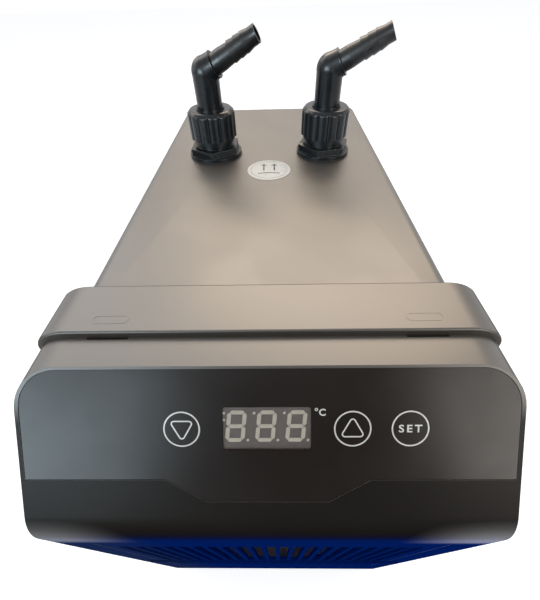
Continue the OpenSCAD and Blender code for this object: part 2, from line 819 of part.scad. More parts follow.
module slip_washer(side) {
    color([0.8, 0.8, 0.78]) at_fitting(side) translate([0, 0, elbow_foot + elbow_collar_h]) difference() {
        cylinder(h = washer_t, r = elbow_collar_r);
        translate([0, 0, -cut]) cylinder(h = washer_t + 2 * cut, r = elbow_r + slip);
    }
}

module union_nut(side) {
    shoulder_z = elbow_foot + elbow_collar_h + washer_t;
    nut_top = nut_low + nut_h;
    color([0.1, 0.11, 0.13]) at_fitting(side) difference() {
        union() {
            translate([0, 0, nut_low]) cylinder(h = nut_h - nut_edge, r = nut_r);
            translate([0, 0, nut_top - nut_edge]) cylinder(h = nut_edge, r1 = nut_r, r2 = nut_r - nut_edge);
            translate([0, 0, nut_top]) cylinder(h = nut_lip_h, r = nut_lip_r);
        }
        translate([0, 0, nut_low - cut]) cylinder(h = shoulder_z - nut_low + cut, r = nut_bore_r);
        translate([0, 0, nut_low - cut]) cylinder(h = nut_h + nut_lip_h + 2 * cut, r = elbow_r + slip);
        for (i = [0:nut_flute_n - 1]) rotate([0, 0, (i + 0.5) * 360 / nut_flute_n])
            translate([nut_r + nut_flute_r - nut_flute_depth, 0, nut_low - cut])
                cylinder(h = nut_h + 2 * cut, r = nut_flute_r);
    }
}

module sticker() {
    color([0.93, 0.93, 0.9]) translate([0, fit_y - sticker_front, casing_top])
        cylinder(h = sticker_t, r = sticker_r);
}

// The tank's outline, a bar with round ends
module tank_outline(r) {
    straight = tank_half - tank_r;
    square([2 * straight, 2 * r], center = true);
    for (s = [-1, 1]) translate([s * straight, 0]) circle(r);
}

module exchanger_tank() {
    color([0.75, 0.75, 0.72]) translate([0, fit_y, tank_z]) difference() {
        linear_extrude(lid_z - lid_h - tank_z) tank_outline(tank_r);
        translate([0, 0, tank_wall]) linear_extrude(lid_z - tank_z) tank_outline(tank_r - tank_wall);
    }
}

module tank_lid() {
    color([0.7, 0.7, 0.68]) difference() {
        union() {
            translate([0, fit_y, lid_z - lid_h]) linear_extrude(lid_h) tank_outline(tank_r);
            for (s = [-1, 1]) translate([s * fit_x, fit_y, lid_z - lid_h])
                cylinder(h = port_top - lid_z + lid_h, r = port_r);
        }
        for (s = [-1, 1]) translate([s * fit_x, fit_y, lid_z - lid_h - cut]) {
            cylinder(h = port_top - lid_z + lid_h + 2 * cut, r = fit_bore_r);
            translate([0, 0, casing_top - shank_drop - lid_z + lid_h + cut - slip])
                cylinder(h = port_top, r = shank_r + socket_slip);
        }
        for (x = [inner_riser_x, outer_riser_x]) translate([x, fit_y, lid_z - lid_h - cut])
            cylinder(h = lid_h + 2 * cut, r = coil_tube_r + bolt_slip);
        translate([0, fit_y + tank_r / 2, lid_z - lid_h - cut])
            cylinder(h = lid_h + 2 * cut, r = probe_r + bolt_slip);
    }
}

module tank_foam() {
    color([0.12, 0.12, 0.12]) translate([0, fit_y, pan_top]) difference() {
        linear_extrude(lid_z - lid_h - pan_top) tank_outline(tank_r + foam_t);
        translate([0, 0, foam_foot - slip]) linear_extrude(lid_z) tank_outline(tank_r + slip);
    }
}

// Points of the coil's winding and its swept tube
coil_n = coil_turns * coil_steps;
function coil_angle(i) = 360 * i / coil_steps;
function coil_point(i) = [coil_r * cos(coil_angle(i)), coil_r * sin(coil_angle(i)),
    coil_pitch * i / coil_steps];
function coil_ring(i) = let(a = coil_angle(i), out = [cos(a), sin(a), 0])
    [for (k = [0:coil_sides - 1]) let(b = 360 * k / coil_sides)
        coil_point(i) + coil_tube_r * (cos(b) * out + sin(b) * [0, 0, 1])];
function coil_faces(n, m) = concat(
    [[for (k = [0:m - 1]) k]],
    [for (i = [0:n - 1]) for (k = [0:m - 1]) let(j = (k + 1) % m)
        [i * m + j, i * m + k, (i + 1) * m + k]],
    [for (i = [0:n - 1]) for (k = [0:m - 1]) let(j = (k + 1) % m)
        [(i + 1) * m + j, i * m + j, (i + 1) * m + k]],
    [[for (k = [m - 1:-1:0]) n * m + k]]
);

module titanium_coil() {
    color([0.7, 0.68, 0.65]) translate([0, fit_y, coil_z])
        polyhedron([for (i = [0:coil_n]) each coil_ring(i)], coil_faces(coil_n, coil_sides));
}

module coil_risers() {
    riser_top = lid_z + stub_h;
    color([0.7, 0.68, 0.65]) {
        translate([inner_riser_x, fit_y, coil_z - coil_tube_r])
            cylinder(h = riser_top - coil_z + coil_tube_r, r = coil_tube_r);
        translate([outer_riser_x, fit_y, coil_top + coil_tube_r + slip])
            cylinder(h = riser_top - coil_top - coil_tube_r - slip, r = coil_tube_r);
    }
}

module temperature_probe() {
    color([0.8, 0.8, 0.8]) translate([0, fit_y + tank_r / 2, lid_z - probe_l]) {
        cylinder(h = probe_l + stub_h / 2, r = probe_r);
        translate([0, 0, probe_l]) cylinder(h = stub_h / 2, r = 2 * probe_r);
    }
}

module compressor() {
    color([0.05, 0.05, 0.05]) difference() {
        union() {
            translate([0, compressor_y, shell_z]) {
                cylinder(h = compressor_h - dome_h, r = compressor_r);
                translate([0, 0, compressor_h - dome_h])
                    cylinder(h = dome_h, r1 = compressor_r, r2 = compressor_r - dome_h);
            }
            translate([-compressor_foot_x - grommet_r, compressor_y - compressor_foot_y - grommet_r, plate_z])
                cube([2 * (compressor_foot_x + grommet_r), 2 * (compressor_foot_y + grommet_r), plate_t]);
            for (s = [-1, 1]) translate([s * stub_x, compressor_y + (s > 0 ? stub_x / 2 : 0),
                shell_z + compressor_h - dome_h / 2]) cylinder(h = stub_h, r = stub_r);
        }
        compressor_places() translate([0, 0, plate_z - cut])
            cylinder(h = plate_t + 2 * cut, r = grommet_neck_r + slip);
    }
}

module compressor_grommets() {
    color([0.1, 0.1, 0.1]) compressor_places() translate([0, 0, pan_top]) difference() {
        union() {
            cylinder(h = grommet_h / 2, r = grommet_r);
            cylinder(h = grommet_h, r = grommet_neck_r);
        }
        translate([0, 0, -cut]) cylinder(h = grommet_h + 2 * cut, r = stud_r + bolt_slip);
    }
}

module compressor_nuts() {
    color([0.7, 0.7, 0.7]) compressor_places() translate([0, 0, pan_top + grommet_h]) difference() {
        cylinder(h = stud_r, r = 2 * stud_r, $fn = 6);
        translate([0, 0, -cut]) cylinder(h = stud_r + 2 * cut, r = stud_r + socket_slip);
    }
}

module terminal_cover() {
    color([0.1, 0.1, 0.1]) translate([compressor_r + slip, compressor_y - terminal_w / 2,
        shell_z + terminal_h / 2]) difference() {
        cube([terminal_t, terminal_w, terminal_h]);
        translate([-cut, box_wall, box_wall])
            cube([terminal_t - box_wall + cut, terminal_w - 2 * box_wall, terminal_h - 2 * box_wall]);
    }
}

function tube_z(i) = fin_z + (i + 0.5) * tube_pitch;

module condenser_fins() {
    color([0.75, 0.76, 0.78]) for (i = [0:fin_n - 1])
        translate([(i - (fin_n - 1) / 2) * fin_pitch - fin_t / 2, condenser_y, fin_z])
            rotate([90, 0, 90]) linear_extrude(fin_t) difference() {
                square([fin_d, fin_h]);
                for (k = [0:tube_n - 1]) translate([fin_d / 2, (k + 0.5) * tube_pitch])
                    circle(cond_tube_r + tube_slip);
            }
}

cond_reach = fin_half + fin_pitch;
cond_tube_y = condenser_y + fin_d / 2;

module condenser_tubes() {
    color([0.72, 0.42, 0.25]) {
        for (k = [0:tube_n - 1]) {
            low = k == 0 ? 0 : weld;
            high = k == tube_n - 1 ? 0 : weld;
            translate([-cond_reach - low, cond_tube_y, tube_z(k)]) rotate([0, 90, 0])
                cylinder(h = 2 * cond_reach + low + high, r = cond_tube_r);
        }
        for (k = [0:tube_n - 2]) {
            s = k % 2 == 0 ? 1 : -1;
            translate([s * cond_reach, cond_tube_y, (tube_z(k) + tube_z(k + 1)) / 2])
                rotate([90, 0, 0]) rotate([0, 0, -90 * s]) rotate_extrude(angle = 180)
                    translate([tube_pitch / 2, 0]) circle(cond_tube_r + bead);
        }
    }
}

module condenser_brackets() {
    color([0.5, 0.5, 0.52]) for (s = [-1, 1]) difference() {
        union() {
            translate([s * (fin_half + fin_pitch / 2) - bracket_t / 2, condenser_y, pan_top])
                cube([bracket_t, fin_d, fin_z + fin_h - pan_top]);
        }
        for (k = [0:tube_n - 1])
            translate([s * (fin_half + fin_pitch / 2) - fin_pitch, condenser_y + fin_d / 2, tube_z(k)])
                rotate([0, 90, 0]) cylinder(h = 2 * fin_pitch, r = cond_tube_r + tube_slip);
    }
}

module fan_shroud() {
    ring_in = fan_r + shroud_slip;
    arm_y = shroud_y + shroud_l - 2 * shroud_t;
    color([0.15, 0.15, 0.15]) difference() {
        union() {
            translate([-shroud_half, shroud_y, pan_top])
                cube([2 * shroud_half, shroud_t, fan_z + shroud_foot - pan_top]);
            difference() {
                rod_y(0, shroud_y + shroud_t / 2, shroud_y + shroud_l, fan_z, ring_in + shroud_t);
                rod_y(0, shroud_y, shroud_y + shroud_l + cut, fan_z, ring_in);
            }
            // Arms that carry the motor
            for (a = [0, 120, 240]) translate([0, arm_y, fan_z]) rotate([0, a, 0])
                translate([motor_r - cut, 0, -arm_w / 2])
                    cube([ring_in - motor_r + cut + shroud_t / 2, shroud_t, arm_w]);
        }
        rod_y(0, shroud_y - cut, shroud_y + shroud_t + cut, fan_z, ring_in);
        rod_y(0, shroud_y, motor_y + motor_l, fan_z, motor_r);
    }
}

module fan_motor() {
    color([0.55, 0.56, 0.58]) {
        rod_y(0, motor_y, motor_y + motor_l, fan_z, motor_r);
        rod_y(0, fan_y - hub_l / 2 + shroud_t, motor_y, fan_z, shaft_r - tube_slip);
    }
}

module fan_rotor() {
    color([0.18, 0.18, 0.2]) difference() {
        union() {
            rod_y(0, fan_y - hub_l / 2, fan_y + hub_l / 2, fan_z, hub_r);
            intersection() {
                rod_y(0, fan_y - hub_l / 2, fan_y + hub_l / 2, fan_z, fan_r);
                for (i = [0:blade_n - 1]) translate([0, fan_y, fan_z]) rotate([0, i * 360 / blade_n, 0])
                    rotate([blade_pitch, 0, 0]) translate([hub_r - cut, -blade_t / 2, -blade_w / 2])
                        cube([fan_r, blade_t, blade_w]);
            }
        }
        rod_y(0, fan_y - hub_l / 2 + shroud_t - slip, fan_y + hub_l, fan_z, shaft_r);
    }
}

module filter_drier() {
    color([0.72, 0.42, 0.25]) translate([drier_x, drier_y, drier_z]) {
        cylinder(h = drier_l, r = drier_r);
        translate([0, 0, drier_l]) cylinder(h = drier_r, r1 = drier_r, r2 = cap_r * 2);
        translate([0, 0, -drier_r]) cylinder(h = drier_r, r1 = pipe_r, r2 = drier_r);
    }
}

riser_end = lid_z + stub_h;
stub_end = shell_z + compressor_h - dome_h / 2 + stub_h;
drier_z = shell_z + compressor_h / 3;

module capillary_tube() {
    over = riser_end + 2 * cap_r;
    color([0.72, 0.42, 0.25]) pipe([
        [drier_x, drier_y, drier_z + drier_l + drier_r],
        [drier_x, drier_y, pipe_high],
        [inner_riser_x, drier_y, pipe_high],
        [inner_riser_x, pipe_back, pipe_high],
        [inner_riser_x, pipe_back, over],
        [inner_riser_x, fit_y, over],
        [inner_riser_x, fit_y, riser_end]
    ], cap_r);
}

module discharge_pipe() {
    level = pipe_high - drier_r;
    color([0.72, 0.42, 0.25]) pipe([
        [-stub_x, compressor_y, stub_end],
        [-stub_x, compressor_y, level],
        [pipe_x, compressor_y, level],
        [pipe_x, cond_tube_y, level],
        [pipe_x, cond_tube_y, tube_z(tube_n - 1)],
        [cond_reach, cond_tube_y, tube_z(tube_n - 1)]
    ], pipe_r);
}

module suction_pipe() {
    level = riser_end + 2 * pipe_r;
    start_y = compressor_y + stub_x / 2;
    color([0.72, 0.42, 0.25]) pipe([
        [stub_x, start_y, stub_end],
        [stub_x, start_y, level],
        [outer_riser_x, start_y, level],
        [outer_riser_x, fit_y, level],
        [outer_riser_x, fit_y, riser_end]
    ], pipe_r);
}

module liquid_line() {
    color([0.72, 0.42, 0.25]) pipe([
        [-cond_reach, cond_tube_y, tube_z(0)],
        [-pipe_x, cond_tube_y, tube_z(0)],
        [-pipe_x, drier_y, tube_z(0)],
        [drier_x, drier_y, tube_z(0)],
        [drier_x, drier_y, drier_z - drier_r]
    ], pipe_r);
}

module control_box() {
    color([0.2, 0.2, 0.21]) translate([-box_w / 2, box_y, box_z]) difference() {
        cube([box_w, box_d, box_h]);
        translate([box_wall, -cut, box_wall])
            cube([box_w - 2 * box_wall, box_d - box_wall + cut, box_h - 2 * box_wall]);
    }
}

module power_board() {
    color([0.1, 0.3, 0.16]) translate([-power_w / 2, box_y + box_d - box_wall - 2 * board_t - cut,
        box_z + (box_h - power_h) / 2]) {
        cube([power_w, board_t, power_h]);
        for (s = [-1, 1]) for (b = [0, 1])
            translate([power_w / 2 + s * power_w / 3 - boss_r, board_t, power_h / 4 + b * power_h / 2])
                cube([2 * boss_r, board_t + cut, 2 * boss_r]);
        translate([power_w / 8, -box_d / 2, power_h / 6]) cube([power_w / 3, box_d / 2, power_h / 2]);
        translate([power_w * 0.6, -box_d / 3, power_h / 6]) cube([power_w / 4, box_d / 3, power_h / 3]);
    }
}

module cable_gland() {
    inner_end = rear_plate_y - sheet_t - gland_inside;
    color([0.08, 0.08, 0.08]) difference() {
        union() {
            rod_y(gland_x, inner_end, rear_plate_y + cut, gland_z, gland_thread_r);
            rod_y(gland_x, rear_plate_y, rear_plate_y + gland_flange, gland_z, gland_r);
            translate([gland_x, rear_plate_y + gland_flange, gland_z]) rotate([-90, 0, 0])
                cylinder(h = rear_inset + gland_out - gland_flange, r1 = gland_r - gland_wall,
                    r2 = gland_bore_r + gland_wall);
        }
        rod_y(gland_x, inner_end - cut, rear_y + gland_out + cut, gland_z, gland_bore_r);
    }
}

module gland_nut() {
    color([0.1, 0.1, 0.1]) difference() {
        translate([gland_x, rear_plate_y - sheet_t - locknut_h, gland_z]) rotate([-90, 0, 0])
            cylinder(h = locknut_h, r = gland_r + box_wall, $fn = 6);
        rod_y(gland_x, rear_plate_y - 2 * gland_inside, rear_y, gland_z, gland_thread_r + socket_slip);
    }
}

housing_shell();
rear_panel();
base_pan();
casing_screws();
rubber_feet();
foot_screws();
collar_frame();
front_bezel();
control_overlay();
display_window();
led_display();
display_board();
tact_switches();
board_screws();
key(-key_x);  // key_down
key(key_x);  // key_up
key(set_key_x);  // key_set
intake_grille();
fitting(-1);  // fitting_left
fitting(1);  // fitting_right
flange_seal(-1);  // flange_seal_left
flange_seal(1);  // flange_seal_right
locknut(-1);  // locknut_left
locknut(1);  // locknut_right
o_ring(-1);  // o_ring_left
o_ring(1);  // o_ring_right
elbow(-1);  // elbow_left
elbow(1);  // elbow_right
hose_tail(-1);  // hose_tail_left
hose_tail(1);  // hose_tail_right
slip_washer(-1);  // slip_washer_left
slip_washer(1);  // slip_washer_right
union_nut(-1);  // union_nut_left
union_nut(1);  // union_nut_right
sticker();
exchanger_tank();
tank_lid();
tank_foam();
titanium_coil();
coil_risers();
temperature_probe();
compressor();
compressor_grommets();
compressor_nuts();
terminal_cover();
condenser_fins();
condenser_tubes();
condenser_brackets();
fan_shroud();
fan_motor();
fan_rotor();
filter_drier();
capillary_tube();
discharge_pipe();
suction_pipe();
liquid_line();
control_box();
power_board();
cable_gland();
gland_nut();
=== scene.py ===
"""Aquarium chiller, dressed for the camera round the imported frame.

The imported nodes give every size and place. This script gives them their finishes, replaces
the shells that need softer edges by dressed copies and the union nuts by fluted ones, and
adds the prints and the display's segments.
"""
import json
import logging
import math
from dataclasses import dataclass, field
from enum import Enum
from functools import reduce
from typing import Callable, Iterable, Sequence

import bmesh
import bpy
from mathutils import Matrix, Vector


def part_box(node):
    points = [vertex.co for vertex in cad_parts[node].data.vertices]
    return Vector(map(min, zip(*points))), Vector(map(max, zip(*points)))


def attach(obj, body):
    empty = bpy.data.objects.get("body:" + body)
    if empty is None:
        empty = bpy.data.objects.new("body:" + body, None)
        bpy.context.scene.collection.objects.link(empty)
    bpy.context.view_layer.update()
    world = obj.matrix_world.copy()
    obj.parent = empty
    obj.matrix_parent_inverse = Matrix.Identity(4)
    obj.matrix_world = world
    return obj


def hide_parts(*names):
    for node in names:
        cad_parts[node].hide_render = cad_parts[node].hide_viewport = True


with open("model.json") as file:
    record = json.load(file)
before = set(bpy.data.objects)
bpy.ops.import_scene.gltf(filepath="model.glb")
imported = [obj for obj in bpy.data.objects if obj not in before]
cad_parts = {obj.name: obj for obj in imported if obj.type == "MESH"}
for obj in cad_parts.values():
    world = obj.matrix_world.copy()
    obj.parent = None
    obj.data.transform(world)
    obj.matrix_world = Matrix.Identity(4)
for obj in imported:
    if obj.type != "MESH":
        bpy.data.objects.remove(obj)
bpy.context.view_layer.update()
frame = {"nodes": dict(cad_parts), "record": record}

log = logging.getLogger("chiller")

Point = tuple[float, float]           # across and up on a flat face
Colour = tuple[float, float, float]   # linear, as a shader takes it
Screen = tuple[int, int, int]         # red, green and blue as a screen shows them, 0 to 255
Zone = tuple[float, float, float]     # where a mask starts, where it is full, and its full value
X_AXIS, Y_AXIS = Vector((1.0, 0.0, 0.0)), Vector((0.0, 1.0, 0.0))


def from_screen(colour: Screen) -> Colour:
    """Turns a screen colour into the linear colour that a shader takes.

    Args:
        colour: The screen's red, green and blue.

    Returns:
        The linear colour.
    """
    def linear(value: float) -> float:
        """Undoes the screen's curve for one channel."""
        return value / 12.92 if value <= 0.04045 else ((value + 0.055) / 1.055) ** 2.4

    return tuple(linear(channel / 255) for channel in colour)


# Node trees

class Output:
    """A node's output. Where it is a number, it can be reckoned with like one."""

    def __init__(self, graph: "Graph", socket: bpy.types.NodeSocket) -> None:
        """Keeps the socket and the graph that it is in."""
        self.graph = graph
        self.socket = socket

    def __add__(self, other: object) -> "Output":
        """Adds a number or another output."""
        return self.graph.math("ADD", self, other)

    def __sub__(self, other: object) -> "Output":
        """Takes a number or another output off."""
        return self.graph.math("SUBTRACT", self, other)

    def __rsub__(self, other: float) -> "Output":
        """Takes this output off a number."""
        return self.graph.math("SUBTRACT", other, self)

    def __mul__(self, other: object) -> "Output":
        """Multiplies by a number or another output."""
        return self.graph.math("MULTIPLY", self, other)

    def __truediv__(self, other: object) -> "Output":
        """Divides by a number or another output."""
        return self.graph.math("DIVIDE", self, other)


class Graph:
    """A node tree with short ways to add, set and join nodes."""

    def __init__(self, tree: bpy.types.NodeTree) -> None:
        """Keeps the tree that the nodes go into."""
        self.tree = tree

    def add(self, kind: str, **inputs: object) -> bpy.types.Node:
        """Adds a node and sets or joins its inputs.

        Args:
            kind: Blender's name of the node type.
            inputs: Attributes in lower case, and sockets by name with spaces as underscores
                and a capital first letter, or by number after an I.

        Returns:
            The new node.
        """
        node = self.tree.nodes.new(kind)
        for name, value in inputs.items():
            if name[0].islower():
                setattr(node, name, value)
        for name, value in inputs.items():
            if not name[0].islower():
                self.feed(node, name.replace("_", " "), value)
        return node

    def feed(self, node: bpy.types.Node, name: str, value: object) -> None:
        """Sets a node's input, or joins an output to it.

        Args:
            node: The node.
            name: The input's name, or its number after an I.
            value: An output, a socket, or a value. A colour is given as three numbers.
        """
        socket = node.inputs[int(name[1:])] if name[1:].isdigit() else node.inputs[name]
        if isinstance(value, Output):
            value = value.socket
        if isinstance(value, bpy.types.NodeSocket):
            self.tree.links.new(value, socket)
        elif socket.type == "RGBA":
            socket.default_value = (*value, 1.0)
        else:
            socket.default_value = value

    def read(self, kind: str, output: str, **inputs: object) -> Output:
        """Adds a node for one of its outputs.

        Args:
            kind: Blender's name of the node type.
            output: Name of the output.
            inputs: As in add.

        Returns:
            The output.
        """
        return Output(self, self.add(kind, **inputs).outputs[output])

    def effect(self, tree: bpy.types.NodeTree, **inputs: object) -> dict[str, Output]:
        """Places a shader node group and gives its outputs by name."""
        node = self.add("ShaderNodeGroup", node_tree=tree, **inputs)
        return {socket.name: Output(self, socket) for socket in node.outputs}

    def split(self, vector: object) -> tuple[Output, ...]:
        """Gives the three numbers of a vector."""
        node = self.add("ShaderNodeSeparateXYZ", Vector=vector)
        return tuple(Output(self, socket) for socket in node.outputs)

    def mix(self, factor: object, low: object, high: object) -> Output:
        """Mixes two colours, each a linear colour or an output."""
        node = self.add("ShaderNodeMix", data_type="RGBA", I0=factor, I6=low, I7=high)
        return Output(self, node.outputs[2])

    def math(self, operation: str, *values: object, clamp: bool = False) -> Output:
        """Adds a Math node and gives its result."""
        inputs = {"I%d" % i: value for i, value in enumerate(values)}
        return self.read("ShaderNodeMath", "Value", operation=operation, use_clamp=clamp, **inputs)

    def most(self, *values: object) -> Output:
        """Gives the largest of several numbers."""
        return reduce(lambda one, other: self.math("MAXIMUM", one, other), values)

    def ramp(self, value: object, low: float, high: float, out_low: float = 0.0,
             out_high: float = 1.0) -> Output:
        """Maps a range of values onto another, smoothly and clamped."""
        return self.read("ShaderNodeMapRange", "Result", interpolation_type="SMOOTHSTEP", Value=value,
                         From_Min=low, From_Max=high, To_Min=out_low, To_Max=out_high)

    def zone(self, value: object, zone: Zone) -> Output:
        """Gives a mask that rises to a zone's full value, from its start to its end."""
        start, end, full = zone
        return self.ramp(value, start, end, 0.0, full)


def empty_graph(owner: bpy.types.ID) -> Graph:
    """Gives a material or a world an empty node tree.

    Args:
        owner: The material or the world.

    Returns:
        The tree's graph.
    """
    owner.use_nodes = True
    owner.node_tree.nodes.clear()
    return Graph(owner.node_tree)


# Shader effects

def shader_group(name: str, fill: Callable[[Graph, dict[str, Output]], tuple[Output, ...]],
                 results: Sequence[str], **inputs: float) -> bpy.types.NodeTree:
    """Builds a shader node group once.

    Args:
        name: The group's name.
        fill: Adds the group's nodes, given its graph and its inputs, and gives its results.
        results: Names of the results.
        inputs: Named numbers with their default values, which come after a Vector input.

    Returns:
        The group's node tree.
    """
    tree = bpy.data.node_groups.new(name, "ShaderNodeTree")
    tree.interface.new_socket("Vector", in_out="INPUT", socket_type="NodeSocketVector")
    for label, value in inputs.items():
        socket = tree.interface.new_socket(label, in_out="INPUT", socket_type="NodeSocketFloat")
        socket.default_value = value
    for label in results:
        tree.interface.new_socket(label, in_out="OUTPUT", socket_type="NodeSocketFloat")
    graph = Graph(tree)
    given = {socket.name: Output(graph, socket) for socket in graph.add("NodeGroupInput").outputs}
    graph.add("NodeGroupOutput", **dict(zip(results, fill(graph, given))))
    return tree


def fill_grain(graph: Graph, given: dict[str, Output]) -> tuple[Output, ...]:
    """Moulded or sprayed grain: small soft bumps, and a tone that follows them.

    Args:
        graph: The group's graph.
        given: The group's inputs.

    Returns:
        The height and the tone.
    """
    fine = graph.read("ShaderNodeTexNoise", "Fac", Vector=given["Vector"], Scale=given["Scale"],
                      Detail=3.0, Roughness=0.6)
    cells = graph.read("ShaderNodeTexVoronoi", "Distance", feature="SMOOTH_F1",
                       Vector=given["Vector"], Scale=given["Scale"] * 0.6)
    return fine * 0.65 + cells * 0.35, graph.ramp(fine, 0.35, 0.65)


def fill_clouds(graph: Graph, given: dict[str, Output]) -> tuple[Output, ...]:
    """Slow uneven patches, as of handling, film and moulding flow.

    Args:
        graph: The group's graph.
        given: The group's inputs.

    Returns:
        The mask.
    """
    slow = graph.read("ShaderNodeTexNoise", "Fac", Vector=given["Vector"], Scale=given["Scale"],
                      Detail=4.0, Roughness=0.55, Distortion=0.4)
    return (graph.ramp(slow, 0.32, 0.68),)


def fill_wear(graph: Graph, given: dict[str, Output]) -> tuple[Output, ...]:
    """Rubbed edges: where the rounded normal leaves the true one, broken up by noise.

    Args:
        graph: The group's graph.
        given: The group's inputs.

    Returns:
        The mask.
    """
    soft = graph.read("ShaderNodeBevel", "Normal", samples=4, Radius=given["Radius"])
    true = graph.read("ShaderNodeNewGeometry", "True Normal")
    agree = graph.read("ShaderNodeVectorMath", "Value", operation="DOT_PRODUCT", I0=soft, I1=true)
    patch = graph.read("ShaderNodeTexNoise", "Fac", Vector=given["Vector"], Scale=220.0,
                       Detail=4.0, Roughness=0.7)
    return (graph.ramp(1.0 - agree, 0.02, 0.25) * graph.ramp(patch, 0.38, 0.62),)


def fill_dust(graph: Graph, given: dict[str, Output]) -> tuple[Output, ...]:
    """Fine dust that settles on faces that look up, in specks and a thin film.

    Args:
        graph: The group's graph.
        given: The group's inputs.

    Returns:
        The mask.
    """
    facing = graph.split(graph.read("ShaderNodeNewGeometry", "Normal"))[2]
    film = graph.read("ShaderNodeTexNoise", "Fac", Vector=given["Vector"], Scale=14.0,
                      Detail=5.0, Roughness=0.65)
    specks = graph.read("ShaderNodeTexVoronoi", "Distance", Vector=given["Vector"], Scale=420.0)
    body = graph.ramp(film, 0.4, 0.75) * 0.6 + graph.ramp(specks, 0.1, 0.02) * 0.8
    return (graph.math("MULTIPLY", graph.ramp(facing, 0.3, 0.95), body, clamp=True),)


def fill_brushed(graph: Graph, given: dict[str, Output]) -> tuple[Output, ...]:
    """Fine lines along one direction, as rolled or brushed metal has.

    Args:
        graph: The group's graph.
        given: The group's inputs.

    Returns:
        The height and the tone.
    """
    stretched = graph.read("ShaderNodeMapping", "Vector", Vector=given["Vector"],
                           Scale=(900.0, 900.0, 18.0))
    lines = graph.read("ShaderNodeTexNoise", "Fac", Vector=stretched, Scale=1.0, Detail=2.0)
    return lines, graph.ramp(lines, 0.3, 0.7)


GRAIN = shader_group("surface_grain", fill_grain, ("Height", "Tone"), Scale=800.0)
CLOUDS = shader_group("slow_clouds", fill_clouds, ("Mask",), Scale=12.0)
WEAR = shader_group("rubbed_edges", fill_wear, ("Mask",), Radius=0.0006)
DUST = shader_group("settled_dust", fill_dust, ("Mask",))
BRUSHED = shader_group("brushed_lines", fill_brushed, ("Height", "Tone"))


# Finishes

DUST_COLOUR = from_screen((168, 162, 152))
DUST_ROUGHNESS = 0.4      # what full dust adds to the roughness
TONE_SHARE = 0.35         # how strongly the grain's tone shows in the colour
TONE_DARK = 0.82          # brightness of the grain's dark side
CLOUD_SCALE = 2.3         # scale of the roughness's patches, times that of the colour's


class Texture(Enum):
    """The relief that a finish carries."""

    GRAIN = "grain"
    BRUSHED = "brushed"


@dataclass(frozen=True)
class Finish:
    """One finish of the chiller, as a maker would name it.

    Attributes:
        slot: Its name, which for all but prints is a material slot of the record.
        colour: Main colour.
        second: Colour of the slow patches.
        worn: Colour of rubbed edges.
        roughness: Mean roughness.
        spread: How far the roughness varies either way.
        metallic: 1 for bare metal.
        texture: Kind of relief.
        grain: Scale of the grain, per metre.
        depth: Depth of the relief, in metres.
        patch: Scale of the slow patches, per metre.
        wear: Strength of the rubbed edges.
        dust: Strength of the settled dust.
        specular: Strength of the reflection of a bare surface.
    """

    slot: str
    colour: Screen
    second: Screen
    worn: Screen
    roughness: float = 0.45
    spread: float = 0.08
    metallic: float = 0.0
    texture: Texture = Texture.GRAIN
    grain: float = 900.0
    depth: float = 0.00004
    patch: float = 14.0
    wear: float = 0.5
    dust: float = 0.1
    specular: float = 0.5

    def base(self, graph: Graph, vector: bpy.types.NodeSocket) -> object:
        """Gives the main colour, which some finishes draw a pattern into."""
        return from_screen(self.colour)

    def colouring(self, graph: Graph, vector: bpy.types.NodeSocket, tone: Output) -> Output:
        """Lays the slow patches and the grain's tone into the main colour.

        Args:
            graph: The material's graph.
            vector: Object coordinates.
            tone: The relief's tone, 0 to 1.

        Returns:
            The colour before wear and dust.
        """
        second = from_screen(self.second)
        patches = graph.effect(CLOUDS, Vector=vector, Scale=self.patch)["Mask"]
        patched = graph.mix(patches, self.base(graph, vector), second)
        return graph.mix(tone * TONE_SHARE, patched, tuple(part * TONE_DARK for part in second))

    def relief(self, graph: Graph, vector: bpy.types.NodeSocket) -> dict[str, Output]:
        """Lays the finish's relief.

        Args:
            graph: The material's graph.
            vector: Object coordinates.

        Returns:
            The height and the tone, by name.
        """
        if self.texture is Texture.GRAIN:
            return graph.effect(GRAIN, Vector=vector, Scale=self.grain)
        return graph.effect(BRUSHED, Vector=vector)

    def build(self) -> bpy.types.Material:
        """Builds the material.

        Returns:
            The new material.
        """
        material = bpy.data.materials.new(self.slot)
        graph = empty_graph(material)
        vector = graph.add("ShaderNodeTexCoord").outputs["Object"]
        relief = self.relief(graph, vector)
        colour = self.colouring(graph, vector, relief["Tone"])
        clouds = graph.effect(CLOUDS, Vector=vector, Scale=self.patch * CLOUD_SCALE)["Mask"]
        roughness = graph.ramp(clouds, 0.0, 1.0, self.roughness - self.spread,
                               self.roughness + self.spread)
        if self.wear:
            worn = graph.effect(WEAR, Vector=vector)["Mask"] * self.wear
            colour = graph.mix(worn, colour, from_screen(self.worn))
        if self.dust:
            dusty = graph.effect(DUST, Vector=vector)["Mask"] * self.dust
            colour = graph.mix(dusty, colour, DUST_COLOUR)
            roughness = graph.math("ADD", roughness, dusty * DUST_ROUGHNESS, clamp=True)
        bump = graph.read("ShaderNodeBump", "Normal", Strength=1.0, Distance=self.depth,
                          Height=relief["Height"])
        shader = graph.add("ShaderNodeBsdfPrincipled", Base_Color=colour, Roughness=roughness,
                           Metallic=self.metallic, Normal=bump)
        shader.inputs["Specular IOR Level"].default_value = self.specular
        self.extra(graph, shader, vector)
        graph.add("ShaderNodeOutputMaterial", Surface=shader.outputs["BSDF"])
        return material

    def extra(self, graph: Graph, shader: bpy.types.Node, vector: bpy.types.NodeSocket) -> None:
        """Adds what only some finishes have. The plain finish has nothing more."""


@dataclass(frozen=True)
class MetalFinish(Finish):
    """Bare metal with fine upright lines."""

    metallic: float = 1.0
    texture: Texture = Texture.BRUSHED
    depth: float = 0.00001


